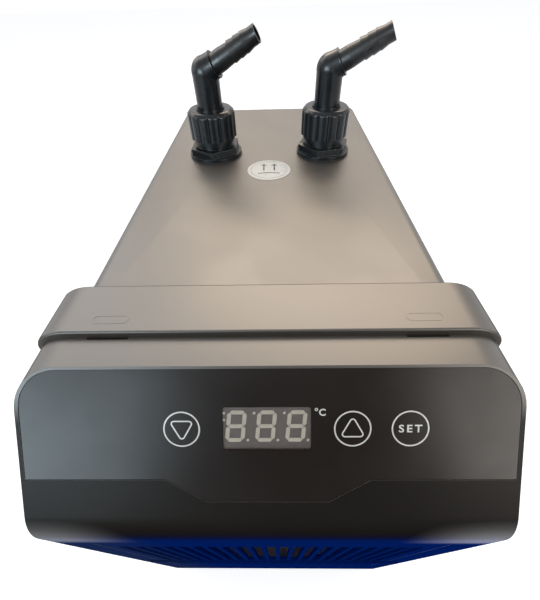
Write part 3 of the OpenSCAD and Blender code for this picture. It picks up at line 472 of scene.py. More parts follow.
@dataclass(frozen=True)
class PrintFinish(Finish):
    """A thin print, clean and unworn."""

    roughness: float = 0.5
    grain: float = 2600.0
    depth: float = 0.000006
    patch: float = 160.0
    wear: float = 0.0
    dust: float = 0.0


@dataclass(frozen=True)
class FadingFinish(Finish):
    """The front's black plastic, with a painted sheen that lightens the brow to brown-grey and a
    painted reflection of a blue surface below a soft fade.

    Where it has a satin coat, that lies on the brow, the sides and the lower corners. Each
    zone of the coat is a mask over a height, a place across or a direction that a face has.

    Attributes:
        low: Colour of the painted reflection of a blue surface, below the fade.
        side: Greyer colour of that painted reflection at the left side.
        painted_sheen: Colour of the painted sheen on the brow and the step frame.
        fade: Heights where the painted reflection starts and where it is full.
        leftward: Places across where its greyer colour starts and where it is full.
        rise: Heights where the painted sheen starts and where it is full.
        low_tone: How strongly the grain's tone shows in the painted reflection.
        low_dark: Brightness of the grain's dark side there.
        coat: Weight of the coat, 0 for none.
        coat_roughness: Roughness of the coat.
        coat_index: Refractive index of the coat.
        facing_up: Zone over how far a face looks up.
        facing_side: Zone over how far it looks to a side.
        on_brow: Zone over the height, on the brow.
        on_chin: Zone over the height, above the fade.
        on_right: Zone over the place across, at the lower right corner.
        on_left: The same at the lower left corner.
        corner_top: Heights where the corners' coat starts and where it is full, from above.
        corner_low: The same from below.
    """

    # Painted light: the two blue colours paint a reflection of a blue surface on the lower front, and
    # the lighter brown-grey one after them paints sheen on the brow and the step frame.
    low: Screen = (2, 36, 112)
    side: Screen = (36, 52, 96)
    painted_sheen: Screen = (60, 54, 48)
    fade: Point = (0.29, 0.273)
    leftward: Point = (-0.045, -0.1)
    rise: Point = (0.325, 0.346)
    low_tone: float = 0.3
    low_dark: float = 0.6
    coat: float = 0.0
    coat_roughness: float = 0.4
    coat_index: float = 1.8
    facing_up: Zone = (0.72, 0.88, 0.85)
    facing_side: Zone = (0.45, 0.8, 0.7)
    on_brow: Zone = (0.326, 0.34, 0.35)
    on_chin: Zone = (0.283, 0.297, 0.05)
    on_right: Zone = (0.06, 0.104, 0.65)
    on_left: Zone = (-0.06, -0.104, 0.5)
    corner_top: Point = (0.298, 0.286)
    corner_low: Point = (0.262, 0.274)

    def colouring(self, graph: Graph, vector: bpy.types.NodeSocket, tone: Output) -> Output:
        """Paints a reflection by fading from the main colour to the blue low one, and paints sheen by
        fading to the lighter colour on the brow.

        Args:
            graph: The material's graph.
            vector: Object coordinates.
            tone: The relief's tone, 0 to 1.

        Returns:
            The colour before wear and dust.
        """
        main = super().colouring(graph, vector, tone)
        across, _, height = graph.split(vector)
        low, side, painted_sheen = (from_screen(colour) for colour in (self.low, self.side, self.painted_sheen))
        # Painted reflection: blue below the fade, greyer towards the left side, and toned by the
        # grain.
        plain = graph.mix(graph.ramp(across, *self.leftward), low, side)
        toned_reflection = graph.mix(tone * self.low_tone, plain, tuple(part * self.low_dark for part in low))
        with_painted_reflection = graph.mix(graph.ramp(height, *self.fade), main, toned_reflection)
        # Painted sheen: a lighter colour on the brow and the step frame, above the rise's heights.
        return graph.mix(graph.ramp(height, *self.rise), with_painted_reflection, painted_sheen)

    def extra(self, graph: Graph, shader: bpy.types.Node, vector: bpy.types.NodeSocket) -> None:
        """Lays the satin coat over its zones.

        Args:
            graph: The material's graph.
            shader: The material's Principled node.
            vector: Object coordinates.
        """
        if not self.coat:
            return
        across, _, height = graph.split(vector)
        looks_across, _, looks_up = graph.split(graph.read("ShaderNodeNewGeometry", "Normal"))
        corner = graph.most(graph.zone(across, self.on_right), graph.zone(across, self.on_left))
        band = graph.ramp(height, *self.corner_top) * graph.ramp(height, *self.corner_low)
        cover = graph.most(graph.zone(looks_up, self.facing_up), graph.zone(height, self.on_brow),
                           graph.zone(height, self.on_chin),
                           graph.zone(graph.math("ABSOLUTE", looks_across), self.facing_side),
                           corner * band)
        graph.feed(shader, "Coat Weight", cover * self.coat)
        shader.inputs["Coat Roughness"].default_value = self.coat_roughness
        shader.inputs["Coat IOR"].default_value = self.coat_index


@dataclass(frozen=True)
class WindowFinish(Finish):
    """The smoked window: a dark film that lets part of the display through.

    Attributes:
        cover: Share of the light that the film takes.
    """

    cover: float = 0.15

    def extra(self, graph: Graph, shader: bpy.types.Node, vector: bpy.types.NodeSocket) -> None:
        """Makes the film partly clear."""
        shader.inputs["Alpha"].default_value = self.cover


@dataclass(frozen=True)
class BoardFinish(Finish):
    """A circuit board's green lacquer over copper tracks.

    Attributes:
        track: Colour of the lacquer over the copper.
        track_scale: Scale of the tracks, per metre.
        track_share: How strongly the tracks show.
    """

    track: Screen = (52, 120, 62)
    track_scale: float = 420.0
    track_share: float = 0.8

    def base(self, graph: Graph, vector: bpy.types.NodeSocket) -> Output:
        """Draws stepped tracks in a lighter green.

        Args:
            graph: The material's graph.
            vector: Object coordinates.

        Returns:
            The main colour with the tracks.
        """
        tracks = graph.read("ShaderNodeTexBrick", "Fac", Vector=vector, Scale=self.track_scale,
                            Mortar_Size=0.08, Brick_Width=1.6, Row_Height=0.5)
        return graph.mix(tracks * self.track_share, from_screen(self.colour), from_screen(self.track))


FINISHES: tuple[Finish, ...] = (
    Finish("casing_metal", (60, 56, 51), (63, 58, 53), (110, 104, 96), roughness=0.42, spread=0.02,
           grain=1400.0, patch=9.0, dust=0.02, wear=0.3, specular=0.9),
    Finish("rear_metal", (58, 54, 50), (63, 59, 54), (104, 99, 92), roughness=0.42, spread=0.04,
           grain=1600.0, depth=0.00002, dust=0.05, wear=0.3, specular=0.8),
    MetalFinish("zinc_sheet", (172, 174, 176), (150, 153, 158), (205, 205, 205), roughness=0.36,
                dust=0.2),
    Finish("black_screw", (34, 34, 36), (42, 42, 44), (130, 128, 124), roughness=0.4, metallic=0.6,
           depth=0.00001, wear=0.7),
    MetalFinish("bright_screw", (176, 178, 180), (160, 160, 162), (210, 210, 210), roughness=0.28,
                depth=0.000005),
    Finish("foot_rubber", (26, 26, 27), (34, 33, 33), (60, 58, 56), roughness=0.78, grain=700.0,
           depth=0.00006, dust=0.15, specular=0.3),
    # Painted light: this finish's brow and step frame are lightened by painted sheen, and its lower
    # front is turned blue by a painted reflection of a blue surface.
    FadingFinish("front_plastic", (22, 18, 15), (25, 21, 18), (96, 88, 80), roughness=0.6,
                 spread=0.04, grain=1100.0, depth=0.00006, dust=0.02, wear=0.25, coat=1.0,
                 specular=0.0),
    Finish("overlay_film", (18, 9, 4), (21, 12, 7), (56, 46, 38), roughness=0.3, spread=0.02,
           grain=1800.0, depth=0.000005, dust=0.01, wear=0.1, specular=0.1),
    WindowFinish("smoked_window", (112, 101, 94), (106, 96, 89), (130, 122, 114), roughness=0.3,
                 depth=0.000004, wear=0.0, dust=0.0, specular=0.11),
    Finish("display_face", (92, 80, 73), (84, 73, 67), (104, 94, 88), roughness=0.5, depth=0.00001,
           wear=0.1, dust=0.0),
    BoardFinish("circuit_board", (20, 74, 38), (18, 66, 34), (60, 120, 70), roughness=0.32,
                depth=0.00001, wear=0.1, dust=0.05),
    Finish("switch_plastic", (44, 44, 47), (52, 52, 55), (88, 88, 90), roughness=0.48, dust=0.12),
    Finish("key_film", (18, 9, 4), (21, 12, 7), (56, 46, 38), roughness=0.3, spread=0.02,
           grain=1800.0, depth=0.000005, dust=0.01, wear=0.08, specular=0.1),
    # Painted reflection: the grille's blue colours stand in for a blue surface reflected in its
    # plastic, in the main, patch and rubbed-edge colours as well as below the fade.
    FadingFinish("grille_blue", (4, 24, 66), (2, 36, 104), (20, 80, 180), roughness=0.6,
                 spread=0.05, grain=1300.0, depth=0.00002, dust=0.01, wear=0.2, specular=0.0),
    Finish("fitting_plastic", (14, 20, 25), (19, 26, 32), (70, 80, 88), roughness=0.27,
           spread=0.05, grain=1000.0, depth=0.00002, dust=0.02, wear=0.35, specular=0.25),
    Finish("tail_plastic", (18, 20, 23), (24, 26, 29), (78, 80, 82), roughness=0.33, spread=0.05,
           grain=1000.0, depth=0.00003, dust=0.02, wear=0.35, specular=0.3),
    Finish("seal_rubber", (20, 20, 21), (27, 27, 27), (50, 50, 50), roughness=0.7, depth=0.00003,
           specular=0.3),
    Finish("washer_plastic", (196, 194, 186), (180, 178, 170), (220, 218, 212), roughness=0.4,
           depth=0.00001),
    Finish("sticker_film", (228, 227, 220), (222, 220, 213), (236, 236, 232), roughness=0.32,
           depth=0.000006, dust=0.05, wear=0.1),
    Finish("tank_plastic", (206, 204, 194), (192, 189, 178), (226, 224, 216), roughness=0.5,
           depth=0.00003),
    Finish("foam", (44, 43, 42), (54, 52, 50), (80, 78, 76), roughness=0.9, grain=420.0,
           depth=0.0004, wear=0.2, specular=0.2),
    MetalFinish("titanium", (150, 146, 142), (132, 128, 130), (190, 188, 186), roughness=0.3,
                depth=0.000008),
    Finish("copper", (196, 118, 84), (146, 82, 58), (226, 160, 128), roughness=0.34, spread=0.12,
           metallic=1.0, grain=600.0, depth=0.00001, patch=40.0),
    Finish("compressor_black", (26, 26, 28), (36, 36, 38), (90, 88, 86), roughness=0.34,
           grain=700.0, depth=0.00005, dust=0.2),
    MetalFinish("fin_aluminium", (178, 180, 182), (160, 162, 166), (214, 214, 214), roughness=0.38,
                dust=0.25),
    MetalFinish("motor_metal", (140, 142, 146), (120, 122, 128), (190, 190, 190), roughness=0.4,
                dust=0.2),
    Finish("fan_plastic", (34, 35, 38), (42, 43, 46), (80, 80, 84), roughness=0.42, depth=0.00003,
           dust=0.15),
    PrintFinish("white_print", (226, 224, 218), (214, 211, 204), (200, 198, 190), roughness=0.42),
    PrintFinish("grey_print", (150, 150, 148), (136, 136, 136), (160, 160, 160)),
    PrintFinish("moulded_mark", (24, 22, 21), (30, 28, 27), (80, 76, 72), roughness=0.3,
                grain=1500.0, depth=0.00001, patch=60.0),
    PrintFinish("segment_face", (246, 238, 218), (236, 227, 206), (240, 235, 220), grain=2200.0,
                patch=300.0),
)


# Pieces

def new_piece(name: str, data: bpy.types.ID) -> bpy.types.Object:
    """Links a mesh, a lamp or a camera into the scene, at the origin.

    Args:
        name: The new object's name.
        data: What it shows.

    Returns:
        The new object.
    """
    piece = bpy.data.objects.new(name, data)
    bpy.context.scene.collection.objects.link(piece)
    return piece


def mesh_from(name: str, build: Callable[[bmesh.types.BMesh], None]) -> bpy.types.Mesh:
    """Makes a mesh with a function that fills a bmesh.

    Args:
        name: The mesh's name.
        build: Fills the bmesh, in metres, where the piece lies.

    Returns:
        The new mesh, with its doubles merged.
    """
    shape = bmesh.new()
    build(shape)
    bmesh.ops.remove_doubles(shape, verts=shape.verts, dist=1e-7)
    mesh = bpy.data.meshes.new(name)
    shape.to_mesh(mesh)
    shape.free()
    return mesh


def soften(mesh: bpy.types.Mesh, angle: float) -> None:
    """Shades a mesh smooth, with sharp edges above an angle in degrees."""
    mesh.shade_smooth()
    mesh.set_sharp_from_angle(angle=math.radians(angle))


class Shop:
    """Builds each finish once, and puts it on pieces."""

    def __init__(self) -> None:
        """Builds every material, and notes each node's slot and body."""
        record = frame["record"]
        self.materials = {finish.slot: finish.build() for finish in FINISHES}
        self.slots = {part["node"]: part["material_slot"] for part in record["subparts"]}
        self.bodies = {node: body for body, nodes in record["behaviour"]["bodies"].items()
                       for node in nodes}

    def dress_nodes(self, *nodes: str) -> None:
        """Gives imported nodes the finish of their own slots, in all their material slots.

        Args:
            nodes: Names of the nodes.
        """
        for node in nodes:
            piece, material = frame["nodes"][node], self.materials[self.slots[node]]
            for slot in piece.material_slots:
                slot.material = material
            if not piece.material_slots:
                piece.data.materials.append(material)
            log.info("node %s: %s", node, self.slots[node])

    def keep(self, piece: bpy.types.Object, body: str, slot: str, finish: str = "") -> None:
        """Finishes a piece with its slot's finish or another named one, and lets it ride a body.

        Args:
            piece: The new piece.
            body: Body that it rides.
            slot: Material slot of the record.
            finish: Name of the finish, if it isn't the slot's own.
        """
        piece.data.materials.clear()
        piece.data.materials.append(self.materials[finish or slot])
        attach(piece, body)
        log.info("piece %s rides %s", piece.name, body)

    def draw(self, name: str, build: Callable[[bmesh.types.BMesh], None], body: str, slot: str,
             finish: str = "") -> None:
        """Makes a piece with a function that fills a bmesh, and keeps it."""
        self.keep(new_piece(name, mesh_from(name, build)), body, slot, finish)

    def dressed_copy(self, node: str, rounding: float, angle: float = 32.0) -> None:
        """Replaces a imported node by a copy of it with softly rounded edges.

        Args:
            node: The node to copy and replace.
            rounding: Width of the rounding on each sharp edge.
            angle: Angle in degrees above which an edge is sharp.
        """
        shape = bmesh.new()
        shape.from_mesh(frame["nodes"][node].data)
        bmesh.ops.remove_doubles(shape, verts=shape.verts, dist=2e-6)
        bmesh.ops.dissolve_limit(shape, angle_limit=math.radians(1.0), verts=shape.verts,
                                 edges=shape.edges)
        mesh = bpy.data.meshes.new(node + "_dressed")
        shape.to_mesh(mesh)
        shape.free()
        piece = new_piece(node + "_dressed", mesh)
        soften(mesh, angle)
        bevel = piece.modifiers.new("soft_edges", "BEVEL")
        bevel.width = rounding
        bevel.segments = 2
        bevel.limit_method = "ANGLE"
        bevel.angle_limit = math.radians(angle)
        bevel.harden_normals = True
        bevel.use_clamp_overlap = True
        self.keep(piece, self.bodies[node], self.slots[node])
        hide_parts(node)


# Geometry Nodes

class Recipe:
    """A Geometry Nodes tree that makes a mesh once, from named inputs."""

    SOCKETS: dict[type, str] = {int: "NodeSocketInt", float: "NodeSocketFloat",
                                tuple: "NodeSocketVector"}

    def __init__(self, name: str, **inputs: object) -> None:
        """Starts the tree.

        Args:
            name: The tree's name.
            inputs: Default values of the inputs, named with underscores for spaces.
        """
        self.tree = bpy.data.node_groups.new(name, "GeometryNodeTree")
        face = self.tree.interface
        face.new_socket("Geometry", in_out="INPUT", socket_type="NodeSocketGeometry")
        for label, value in inputs.items():
            socket = face.new_socket(label.replace("_", " "), in_out="INPUT",
                                     socket_type=self.SOCKETS[type(value)])
            socket.default_value = value
        face.new_socket("Finish", in_out="INPUT", socket_type="NodeSocketMaterial")
        face.new_socket("Geometry", in_out="OUTPUT", socket_type="NodeSocketGeometry")
        self.graph = Graph(self.tree)
        self.given = {socket.name: Output(self.graph, socket)
                      for socket in self.graph.add("NodeGroupInput").outputs}

    def close(self, geometry: Output) -> None:
        """Ends the tree in real geometry with its material.

        Args:
            geometry: The tree's result so far.
        """
        real = self.graph.read("GeometryNodeRealizeInstances", "Geometry", Geometry=geometry)
        dressed = self.graph.read("GeometryNodeSetMaterial", "Geometry", Geometry=real,
                                  Material=self.given["Finish"])
        self.graph.add("NodeGroupOutput", Geometry=dressed)

    def make(self, name: str, seed: bpy.types.Mesh, **values: object) -> bpy.types.Object:
        """Runs the tree once and keeps its result as a plain mesh.

        Args:
            name: Name of the new piece.
            seed: Mesh that the tree starts from.
            values: Values of the inputs, named with underscores for spaces.

        Returns:
            The new piece, with no modifier.
        """
        piece = new_piece(name, seed)
        modifier = piece.modifiers.new("recipe", "NODES")
        modifier.node_group = self.tree
        places = {item.name: item.identifier for item in self.tree.interface.items_tree
                  if item.item_type == "SOCKET" and item.in_out == "INPUT"}
        for label, value in values.items():
            modifier[places[label.replace("_", " ")]] = value
        graph = bpy.context.evaluated_depsgraph_get()
        mesh = bpy.data.meshes.new_from_object(piece.evaluated_get(graph), depsgraph=graph)
        mesh.name = name
        piece.modifiers.remove(modifier)
        piece.data = mesh
        bpy.data.meshes.remove(seed)
        return piece


def row_recipe() -> Recipe:
    """Repeats the seed mesh along a straight row.

    Returns:
        The recipe.
    """
    recipe = Recipe("repeat_in_a_row", Count=3, Start=(0.0, 0.0, 0.0), Step=(0.01, 0.0, 0.0))
    graph, given = recipe.graph, recipe.given
    line = graph.read("GeometryNodeMeshLine", "Mesh", Count=given["Count"],
                      Start_Location=given["Start"], Offset=given["Step"])
    recipe.close(graph.read("GeometryNodeInstanceOnPoints", "Instances", Points=line,
                            Instance=given["Geometry"]))
    return recipe


def nut_recipe() -> Recipe:
    """Draws a nut with a fluted wall, a scalloped bevel and a collar ring, on a grid.

    The seed mesh isn't used. The grid runs once round, and its levels follow the nut's section
    from the foot's bore out, up the wall, in over the top, over the ring and down the bore.

    Returns:
        The recipe.
    """
    recipe = Recipe("lobed_wall", Radius=0.019, Height=0.02, Lobes=12, Depth=0.0012, Bevel=0.0015,
                    Bore=0.0105, Ring=0.0113, Rise=0.0012, Foot=0.003, Foot_Radius=0.0165,
                    Place=(0.0, 0.0, 0.0))
    graph, given = recipe.graph, recipe.given
    radius, height, bore, ring = (given[name] for name in ("Radius", "Height", "Bore", "Ring"))
    columns = 337                           # round the nut
    stops = (0, 3, 43, 47, 50, 53, 60)      # levels at which the parts of the section end
    fullness = 0.45                         # under 1, ribs are full and grooves narrow
    leave = 30.0                            # how fast the wall leaves the foot's radius
    grid = graph.read("GeometryNodeMeshGrid", "Mesh", Size_X=1.0, Size_Y=1.0, Vertices_X=columns,
                      Vertices_Y=stops[-1] + 1)
    along, above, _ = graph.split(graph.read("GeometryNodeInputPosition", "Position"))
    turn = (along + 0.5) * (2 * math.pi)
    level = (above + 0.5) * float(stops[-1])
    out, climb, inward, lift, over, down = (
        graph.math("DIVIDE", level - float(first), float(last - first), clamp=True)
        for first, last in zip(stops, stops[1:]))

    wave = graph.math("ABSOLUTE", graph.math("COSINE", turn * (given["Lobes"] / 2.0)))
    flute = radius - (1.0 - graph.math("POWER", wave, fullness)) * given["Depth"]
    up = climb * height
    cone = radius - graph.most(given["Bevel"] - (height - up), 0.0)
    past_foot = graph.math("MULTIPLY", up - given["Foot"], leave, clamp=True)
    stepped = given["Foot Radius"] + past_foot
    wall = graph.math("MINIMUM", stepped, graph.math("MINIMUM", flute, cone))

    from_bore = bore + out * (wall - bore)
    to_ring = from_bore - inward * (from_bore - ring)
    final = to_ring - over * (ring - bore)
    rise = (up + lift * given["Rise"]) * (1.0 - down)
    drawn = graph.read("ShaderNodeCombineXYZ", "Vector", X=final * graph.math("COSINE", turn),
                       Y=final * graph.math("SINE", turn), Z=rise)
    moved = graph.read("ShaderNodeVectorMath", "Vector", operation="ADD", I0=drawn,
                       I1=given["Place"])
    shell = graph.read("GeometryNodeSetPosition", "Geometry", Geometry=grid, Position=moved)
    recipe.close(graph.read("GeometryNodeMergeByDistance", "Geometry", Geometry=shell,
                            Distance=1e-6))
    return recipe


# Flat prints

PRINT_RISE = 0.00004      # how far a print stands out


@dataclass(frozen=True)
class Plane:
    """A flat face that prints lie on.

    Attributes:
        origin: Where its own coordinates start.
        along: Direction of its first coordinate.
        up: Direction of its second coordinate.
    """

    origin: Vector
    along: Vector
    up: Vector

    def at(self, u: float, v: float, w: float = 0.0) -> Vector:
        """Gives the place of a point on the face, w above it."""
        return self.origin + self.along * u + self.up * v + self.along.cross(self.up) * w


def flat_face(shape: bmesh.types.BMesh, plane: Plane, points: Iterable[Point]) -> None:
    """Adds a print of the given outline, as a thin plate.

    Args:
        shape: The mesh that it is added to.
        plane: The face that it lies on.
        points: Its outline, anticlockwise.
    """
    outline = list(points)
    top = [shape.verts.new(plane.at(u, v, PRINT_RISE)) for u, v in outline]
    low = [shape.verts.new(plane.at(u, v)) for u, v in outline]
    shape.faces.new(top)
    shape.faces.new(low[::-1])
    for corners in zip(top, low, low[1:] + low[:1], top[1:] + top[:1]):
        shape.faces.new(corners)


def flat_band(shape: bmesh.types.BMesh, plane: Plane, outer: Sequence[Point], inner: Sequence[Point],
              top: float = PRINT_RISE, foot: float = 0.0) -> None:
    """Adds a thin closed band between two outlines.

    Args:
        shape: The mesh that it is added to.
        plane: The face that it lies on.
        outer: Its outer outline, anticlockwise.
        inner: Its inner outline, with as many points.
        top: Height of its face over the plane.
        foot: Height of its underside over the plane.
    """
    rings = [[shape.verts.new(plane.at(u, v, w)) for u, v in outline]
             for outline, w in ((outer, top), (inner, top), (inner, foot), (outer, foot))]
    for a, b in zip(rings, rings[1:] + rings[:1]):
        for corners in zip(a, a[1:] + a[:1], b[1:] + b[:1], b):
            shape.faces.new(corners)


def circle(u: float, v: float, radius: float, count: int) -> list[Point]:
    """Gives the points of a circle, anticlockwise."""
    turns = (2 * math.pi * i / count for i in range(count))
    return [(u + radius * math.cos(turn), v + radius * math.sin(turn)) for turn in turns]


def rounded(corners: Sequence[Point], radius: float, steps: int = 8) -> list[Point]:
    """Rounds the corners of a convex outline.

    Args:
        corners: The outline's corners, anticlockwise.
        radius: Radius of each rounded corner.
        steps: Steps of each arc.

    Returns:
        The rounded outline.
    """
    points: list[Point] = []
    for i, corner in enumerate(corners):
        here = Vector(corner)
        back = (Vector(corners[i - 1]) - here).normalized()
        ahead = (Vector(corners[(i + 1) % len(corners)]) - here).normalized()
        half = back.angle(ahead) / 2
        middle = here + (back + ahead).normalized() * (radius / math.sin(half))
        start = here + back * (radius / math.tan(half)) - middle
        sweep = math.pi - 2 * half
        points += [tuple(middle + Matrix.Rotation(sweep * k / steps, 2) @ start)
                   for k in range(steps + 1)]
    return points


@dataclass(frozen=True)
class Word:
    """A short word that is printed on a face.

    Attributes:
        name: Name of its piece.
        text: The word.
        middle: Where its middle lies on the face.
        wide: Its width.
        high: Height of its capitals.
        bold: How much each stroke is thickened.
        spacing: Spacing of its letters, 1 as the font has it.
    """

    name: str
    text: str
    middle: Point
    wide: float
    high: float
    bold: float
    spacing: float = 1.0

    def print_on(self, plane: Plane) -> bpy.types.Object:
        """Sets the word on a plane as a thin mesh.

        Args:
            plane: The face that it lies on.

        Returns:
            The new piece.
        """
        curve = bpy.data.curves.new(self.name, "FONT")
        curve.body = self.text
        curve.offset = self.bold
        curve.space_character = self.spacing
        curve.resolution_u = 6
        text = new_piece(self.name + "_curve", curve)
        graph = bpy.context.evaluated_depsgraph_get()
        mesh = bpy.data.meshes.new_from_object(text.evaluated_get(graph), depsgraph=graph)
        bpy.data.objects.remove(text)
        low, top = (Vector(edge(vertex.co[k] for vertex in mesh.vertices) for k in range(2))
                    for edge in (min, max))
        across, along = self.wide / (top.x - low.x), self.high / (top.y - low.y)
        for vertex in mesh.vertices:
            u = (vertex.co.x - (low.x + top.x) / 2) * across + self.middle[0]
            v = (vertex.co.y - (low.y + top.y) / 2) * along + self.middle[1]
            vertex.co = plane.at(u, v, PRINT_RISE)
        mesh.name = self.name
        return new_piece(self.name, mesh)


# Sub-assemblies

@dataclass
class Casing:
    """The sheet-metal casing with its floor, feet, screws and the step frame round its front.

    Attributes:
        shop: The finishes.
        rounding: Rounding of the sheet's cut edges.
        step_rounding: Rounding of the step frame's edges.
        screw_rounding: Rounding of the screw heads.
        mark_length: Length of the two faint marks on the step frame.
        mark_width: Their width.
        mark_line: Width of the two sides of their raised line together.
        mark_place: Their distance from the middle.
        marks_back: Their distance from the step frame's front edge.
        mark_rise: How far their line stands out.
        mark_end: How much wider a mark is than the arcs of its ends.
    """

    shop: Shop
    rounding: float = 0.00035
    step_rounding: float = 0.0011
    screw_rounding: float = 0.00025
    mark_length: float = 0.0166
    mark_width: float = 0.0048
    mark_line: float = 0.0009
    mark_place: float = 0.0709
    marks_back: float = 0.0073
    mark_rise: float = 0.0001
    mark_end: float = 1.01

    def build(self) -> None:
        """Dresses the shells and the screws, and adds the marks."""
        for node in ("housing_shell", "rear_panel", "base_pan", "rubber_feet"):
            self.shop.dressed_copy(node, self.rounding)
        self.shop.dressed_copy("collar_frame", self.step_rounding, angle=40.0)
        self.shop.dress_nodes("foot_screws")
        self.shop.draw("collar_marks", self.marks, "root", "front_plastic")
        self.shop.dressed_copy("casing_screws", self.screw_rounding)

    def mark_outline(self, middle: float, inset: float) -> list[Point]:
        """Gives a mark's outline, drawn in by an inset.

        Args:
            middle: Its middle across.
            inset: How much shorter and narrower than the mark it is.

        Returns:
            The outline, anticlockwise.
        """
        a, b = (self.mark_length - inset) / 2, (self.mark_width - inset) / 2
        corners = [(middle - a, -b), (middle + a, -b), (middle + a, b), (middle - a, b)]
        return rounded(corners, b / self.mark_end)

    def marks(self, shape: bmesh.types.BMesh) -> None:
        """Draws the two faint long marks on top of the step frame.

        Args:
            shape: The mesh that they are drawn in.
        """
        low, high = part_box("collar_frame")
        plane = Plane(Vector((0.0, low.y + self.marks_back, high.z)), X_AXIS, Y_AXIS)
        for middle in (-self.mark_place, self.mark_place):
            flat_band(shape, plane, self.mark_outline(middle, 0.0),
                      self.mark_outline(middle, self.mark_line), top=self.mark_rise,
                      foot=-self.mark_rise)


@dataclass
class Front:
    """The moulded front and its slotted insert.

    Attributes:
        shop: The finishes.
        rounding: Rounding of the front's edges.
        slot_rounding: Rounding of the slots' edges.
    """

    shop: Shop
    rounding: float = 0.001
    slot_rounding: float = 0.00045

    def build(self) -> None:
        """Dresses the front and the insert."""
        self.shop.dressed_copy("front_bezel", self.rounding, angle=40.0)
        self.shop.dressed_copy("intake_grille", self.slot_rounding)


@dataclass
class ControlPanel:
    """The slanted panel: film, window, display and keys.

    Attributes:
        shop: The finishes.
        digits: Recipe for the row of digits.
        lean: Lean of the panel back from upright, in degrees.
        chin: Height of the line where the panel plane meets the upright front.
        sunk: How far the film's face lies below the panel plane.
        film_rounding: Rounding of the film's and the keys' edges.
        key_up_slope: Distance of the keys up the slope.
        arrow_place: Distance of the arrow keys from the middle.
        set_place: Distance of the set key from the middle.
        ring_radius: Outer radius of a key's ring.
        stroke: Width of a ring's line.
        sign_half: Half the width of an arrow before its corners are rounded.
        sign_high: Height of an arrow before its corners are rounded.
        sign_low: How much of that height lies below the key's middle.
        sign_stroke: Width of an arrow's line.
        sign_round: Outer radius of an arrow's corners.
        least_round: Least outer radius of an arrow's corners.
        degree: Middle of the degree ring.
        degree_radii: Outer and inner radius of that ring.
        letter: Middle of the letter beside it.
    """

    shop: Shop
    digits: Recipe
    lean: float = 41.6
    chin: float = 0.29
    sunk: float = 0.0002
    film_rounding: float = 0.00012
    key_up_slope: float = 0.04925
    arrow_place: float = 0.036
    set_place: float = 0.06
    ring_radius: float = 0.00782
    stroke: float = 0.00062
    sign_half: float = 0.0056
    sign_high: float = 0.0097
    sign_low: float = 0.39
    sign_stroke: float = 0.00058
    sign_round: float = 0.0014
    least_round: float = 0.0006
    degree: Point = (0.0208, 0.0577)
    degree_radii: Point = (0.0007, 0.0003)
    letter: Point = (0.0233, 0.0565)
    panel: Plane = field(init=False)
    film: Plane = field(init=False)

    def __post_init__(self) -> None:
        """Places the panel's plane and the film's face."""
        lean = math.radians(self.lean)
        up = Vector((0.0, math.sin(lean), math.cos(lean)))
        origin = Vector((0.0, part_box("front_bezel")[0].y, self.chin))
        self.panel = Plane(origin, X_AXIS, up)
        self.film = Plane(self.panel.at(0, 0, -self.sunk), X_AXIS, up)

    def build(self) -> None:
        """Dresses the panel and adds its prints and its display."""
        shop = self.shop
        for node in ("control_overlay", "display_window"):
            shop.dressed_copy(node, self.film_rounding, angle=60.0)
        shop.dress_nodes("led_display", "display_board", "tact_switches", "board_screws")
        for node, body, place, sign in (("key_down", "down_key", -self.arrow_place, -1),
                                        ("key_up", "up_key", self.arrow_place, 1),
                                        ("key_set", "set_key", self.set_place, 0)):
            shop.dressed_copy(node, self.film_rounding, angle=60.0)
            shop.draw(node + "_ring", lambda shape: self.key_print(shape, place, sign), body,
                      "key_film", "white_print")
        word = Word("set_word", "SET", (self.set_place, self.key_up_slope), wide=0.0097,
                    high=0.0034, bold=0.02, spacing=1.35)
        shop.keep(word.print_on(self.film), "set_key", "key_film", "white_print")
        shop.draw("degree_ring", self.degree_ring, "root", "overlay_film", "white_print")
        letter = Word("unit_letter", "C", self.letter, wide=0.0028, high=0.0031, bold=0.03)
        shop.keep(letter.print_on(self.film), "root", "overlay_film", "white_print")
        Display(shop, self.digits, self.panel, self.key_up_slope).build()

    def key_print(self, shape: bmesh.types.BMesh, place: float, sign: int) -> None:
        """Draws a key's ring and its arrow.

        Args:
            shape: The mesh that they are drawn in.
            place: The key's middle across.
            sign: 1 for an arrow that points up, -1 for down, 0 for none.
        """
        middle = self.key_up_slope
        flat_band(shape, self.film, circle(place, middle, self.ring_radius, count=72),
                  circle(place, middle, self.ring_radius - self.stroke, count=72))
        if sign:
            flat_band(shape, self.film, self.arrow(place, middle, sign, 0.0),
                      self.arrow(place, middle, sign, self.sign_stroke))

    def arrow(self, u: float, v: float, sign: int, inset: float) -> list[Point]:
        """Gives a rounded triangle that points up or down, drawn in by an inset.

        Args:
            u: Middle across.
            v: Middle up the slope.
            sign: 1 for up, -1 for down.
            inset: How far the outline is drawn in.

        Returns:
            The outline, anticlockwise.
        """
        half, high = self.sign_half, self.sign_high
        slope = math.atan2(high, half)
        base = inset - high * self.sign_low
        shrink = inset / math.tan(slope / 2)
        tip = base - inset + high - inset / math.cos(slope)
        corners = [(-half + shrink, base), (half - shrink, base), (0.0, tip)]
        points = rounded(corners, max(self.sign_round - inset, self.least_round))
        return [(u + sign * x, v + sign * y) for x, y in points]

    def degree_ring(self, shape: bmesh.types.BMesh) -> None:
        """Draws the small degree ring beside the window."""
        outer, inner = (circle(*self.degree, radius, count=24) for radius in self.degree_radii)
        flat_band(shape, self.film, outer, inner)


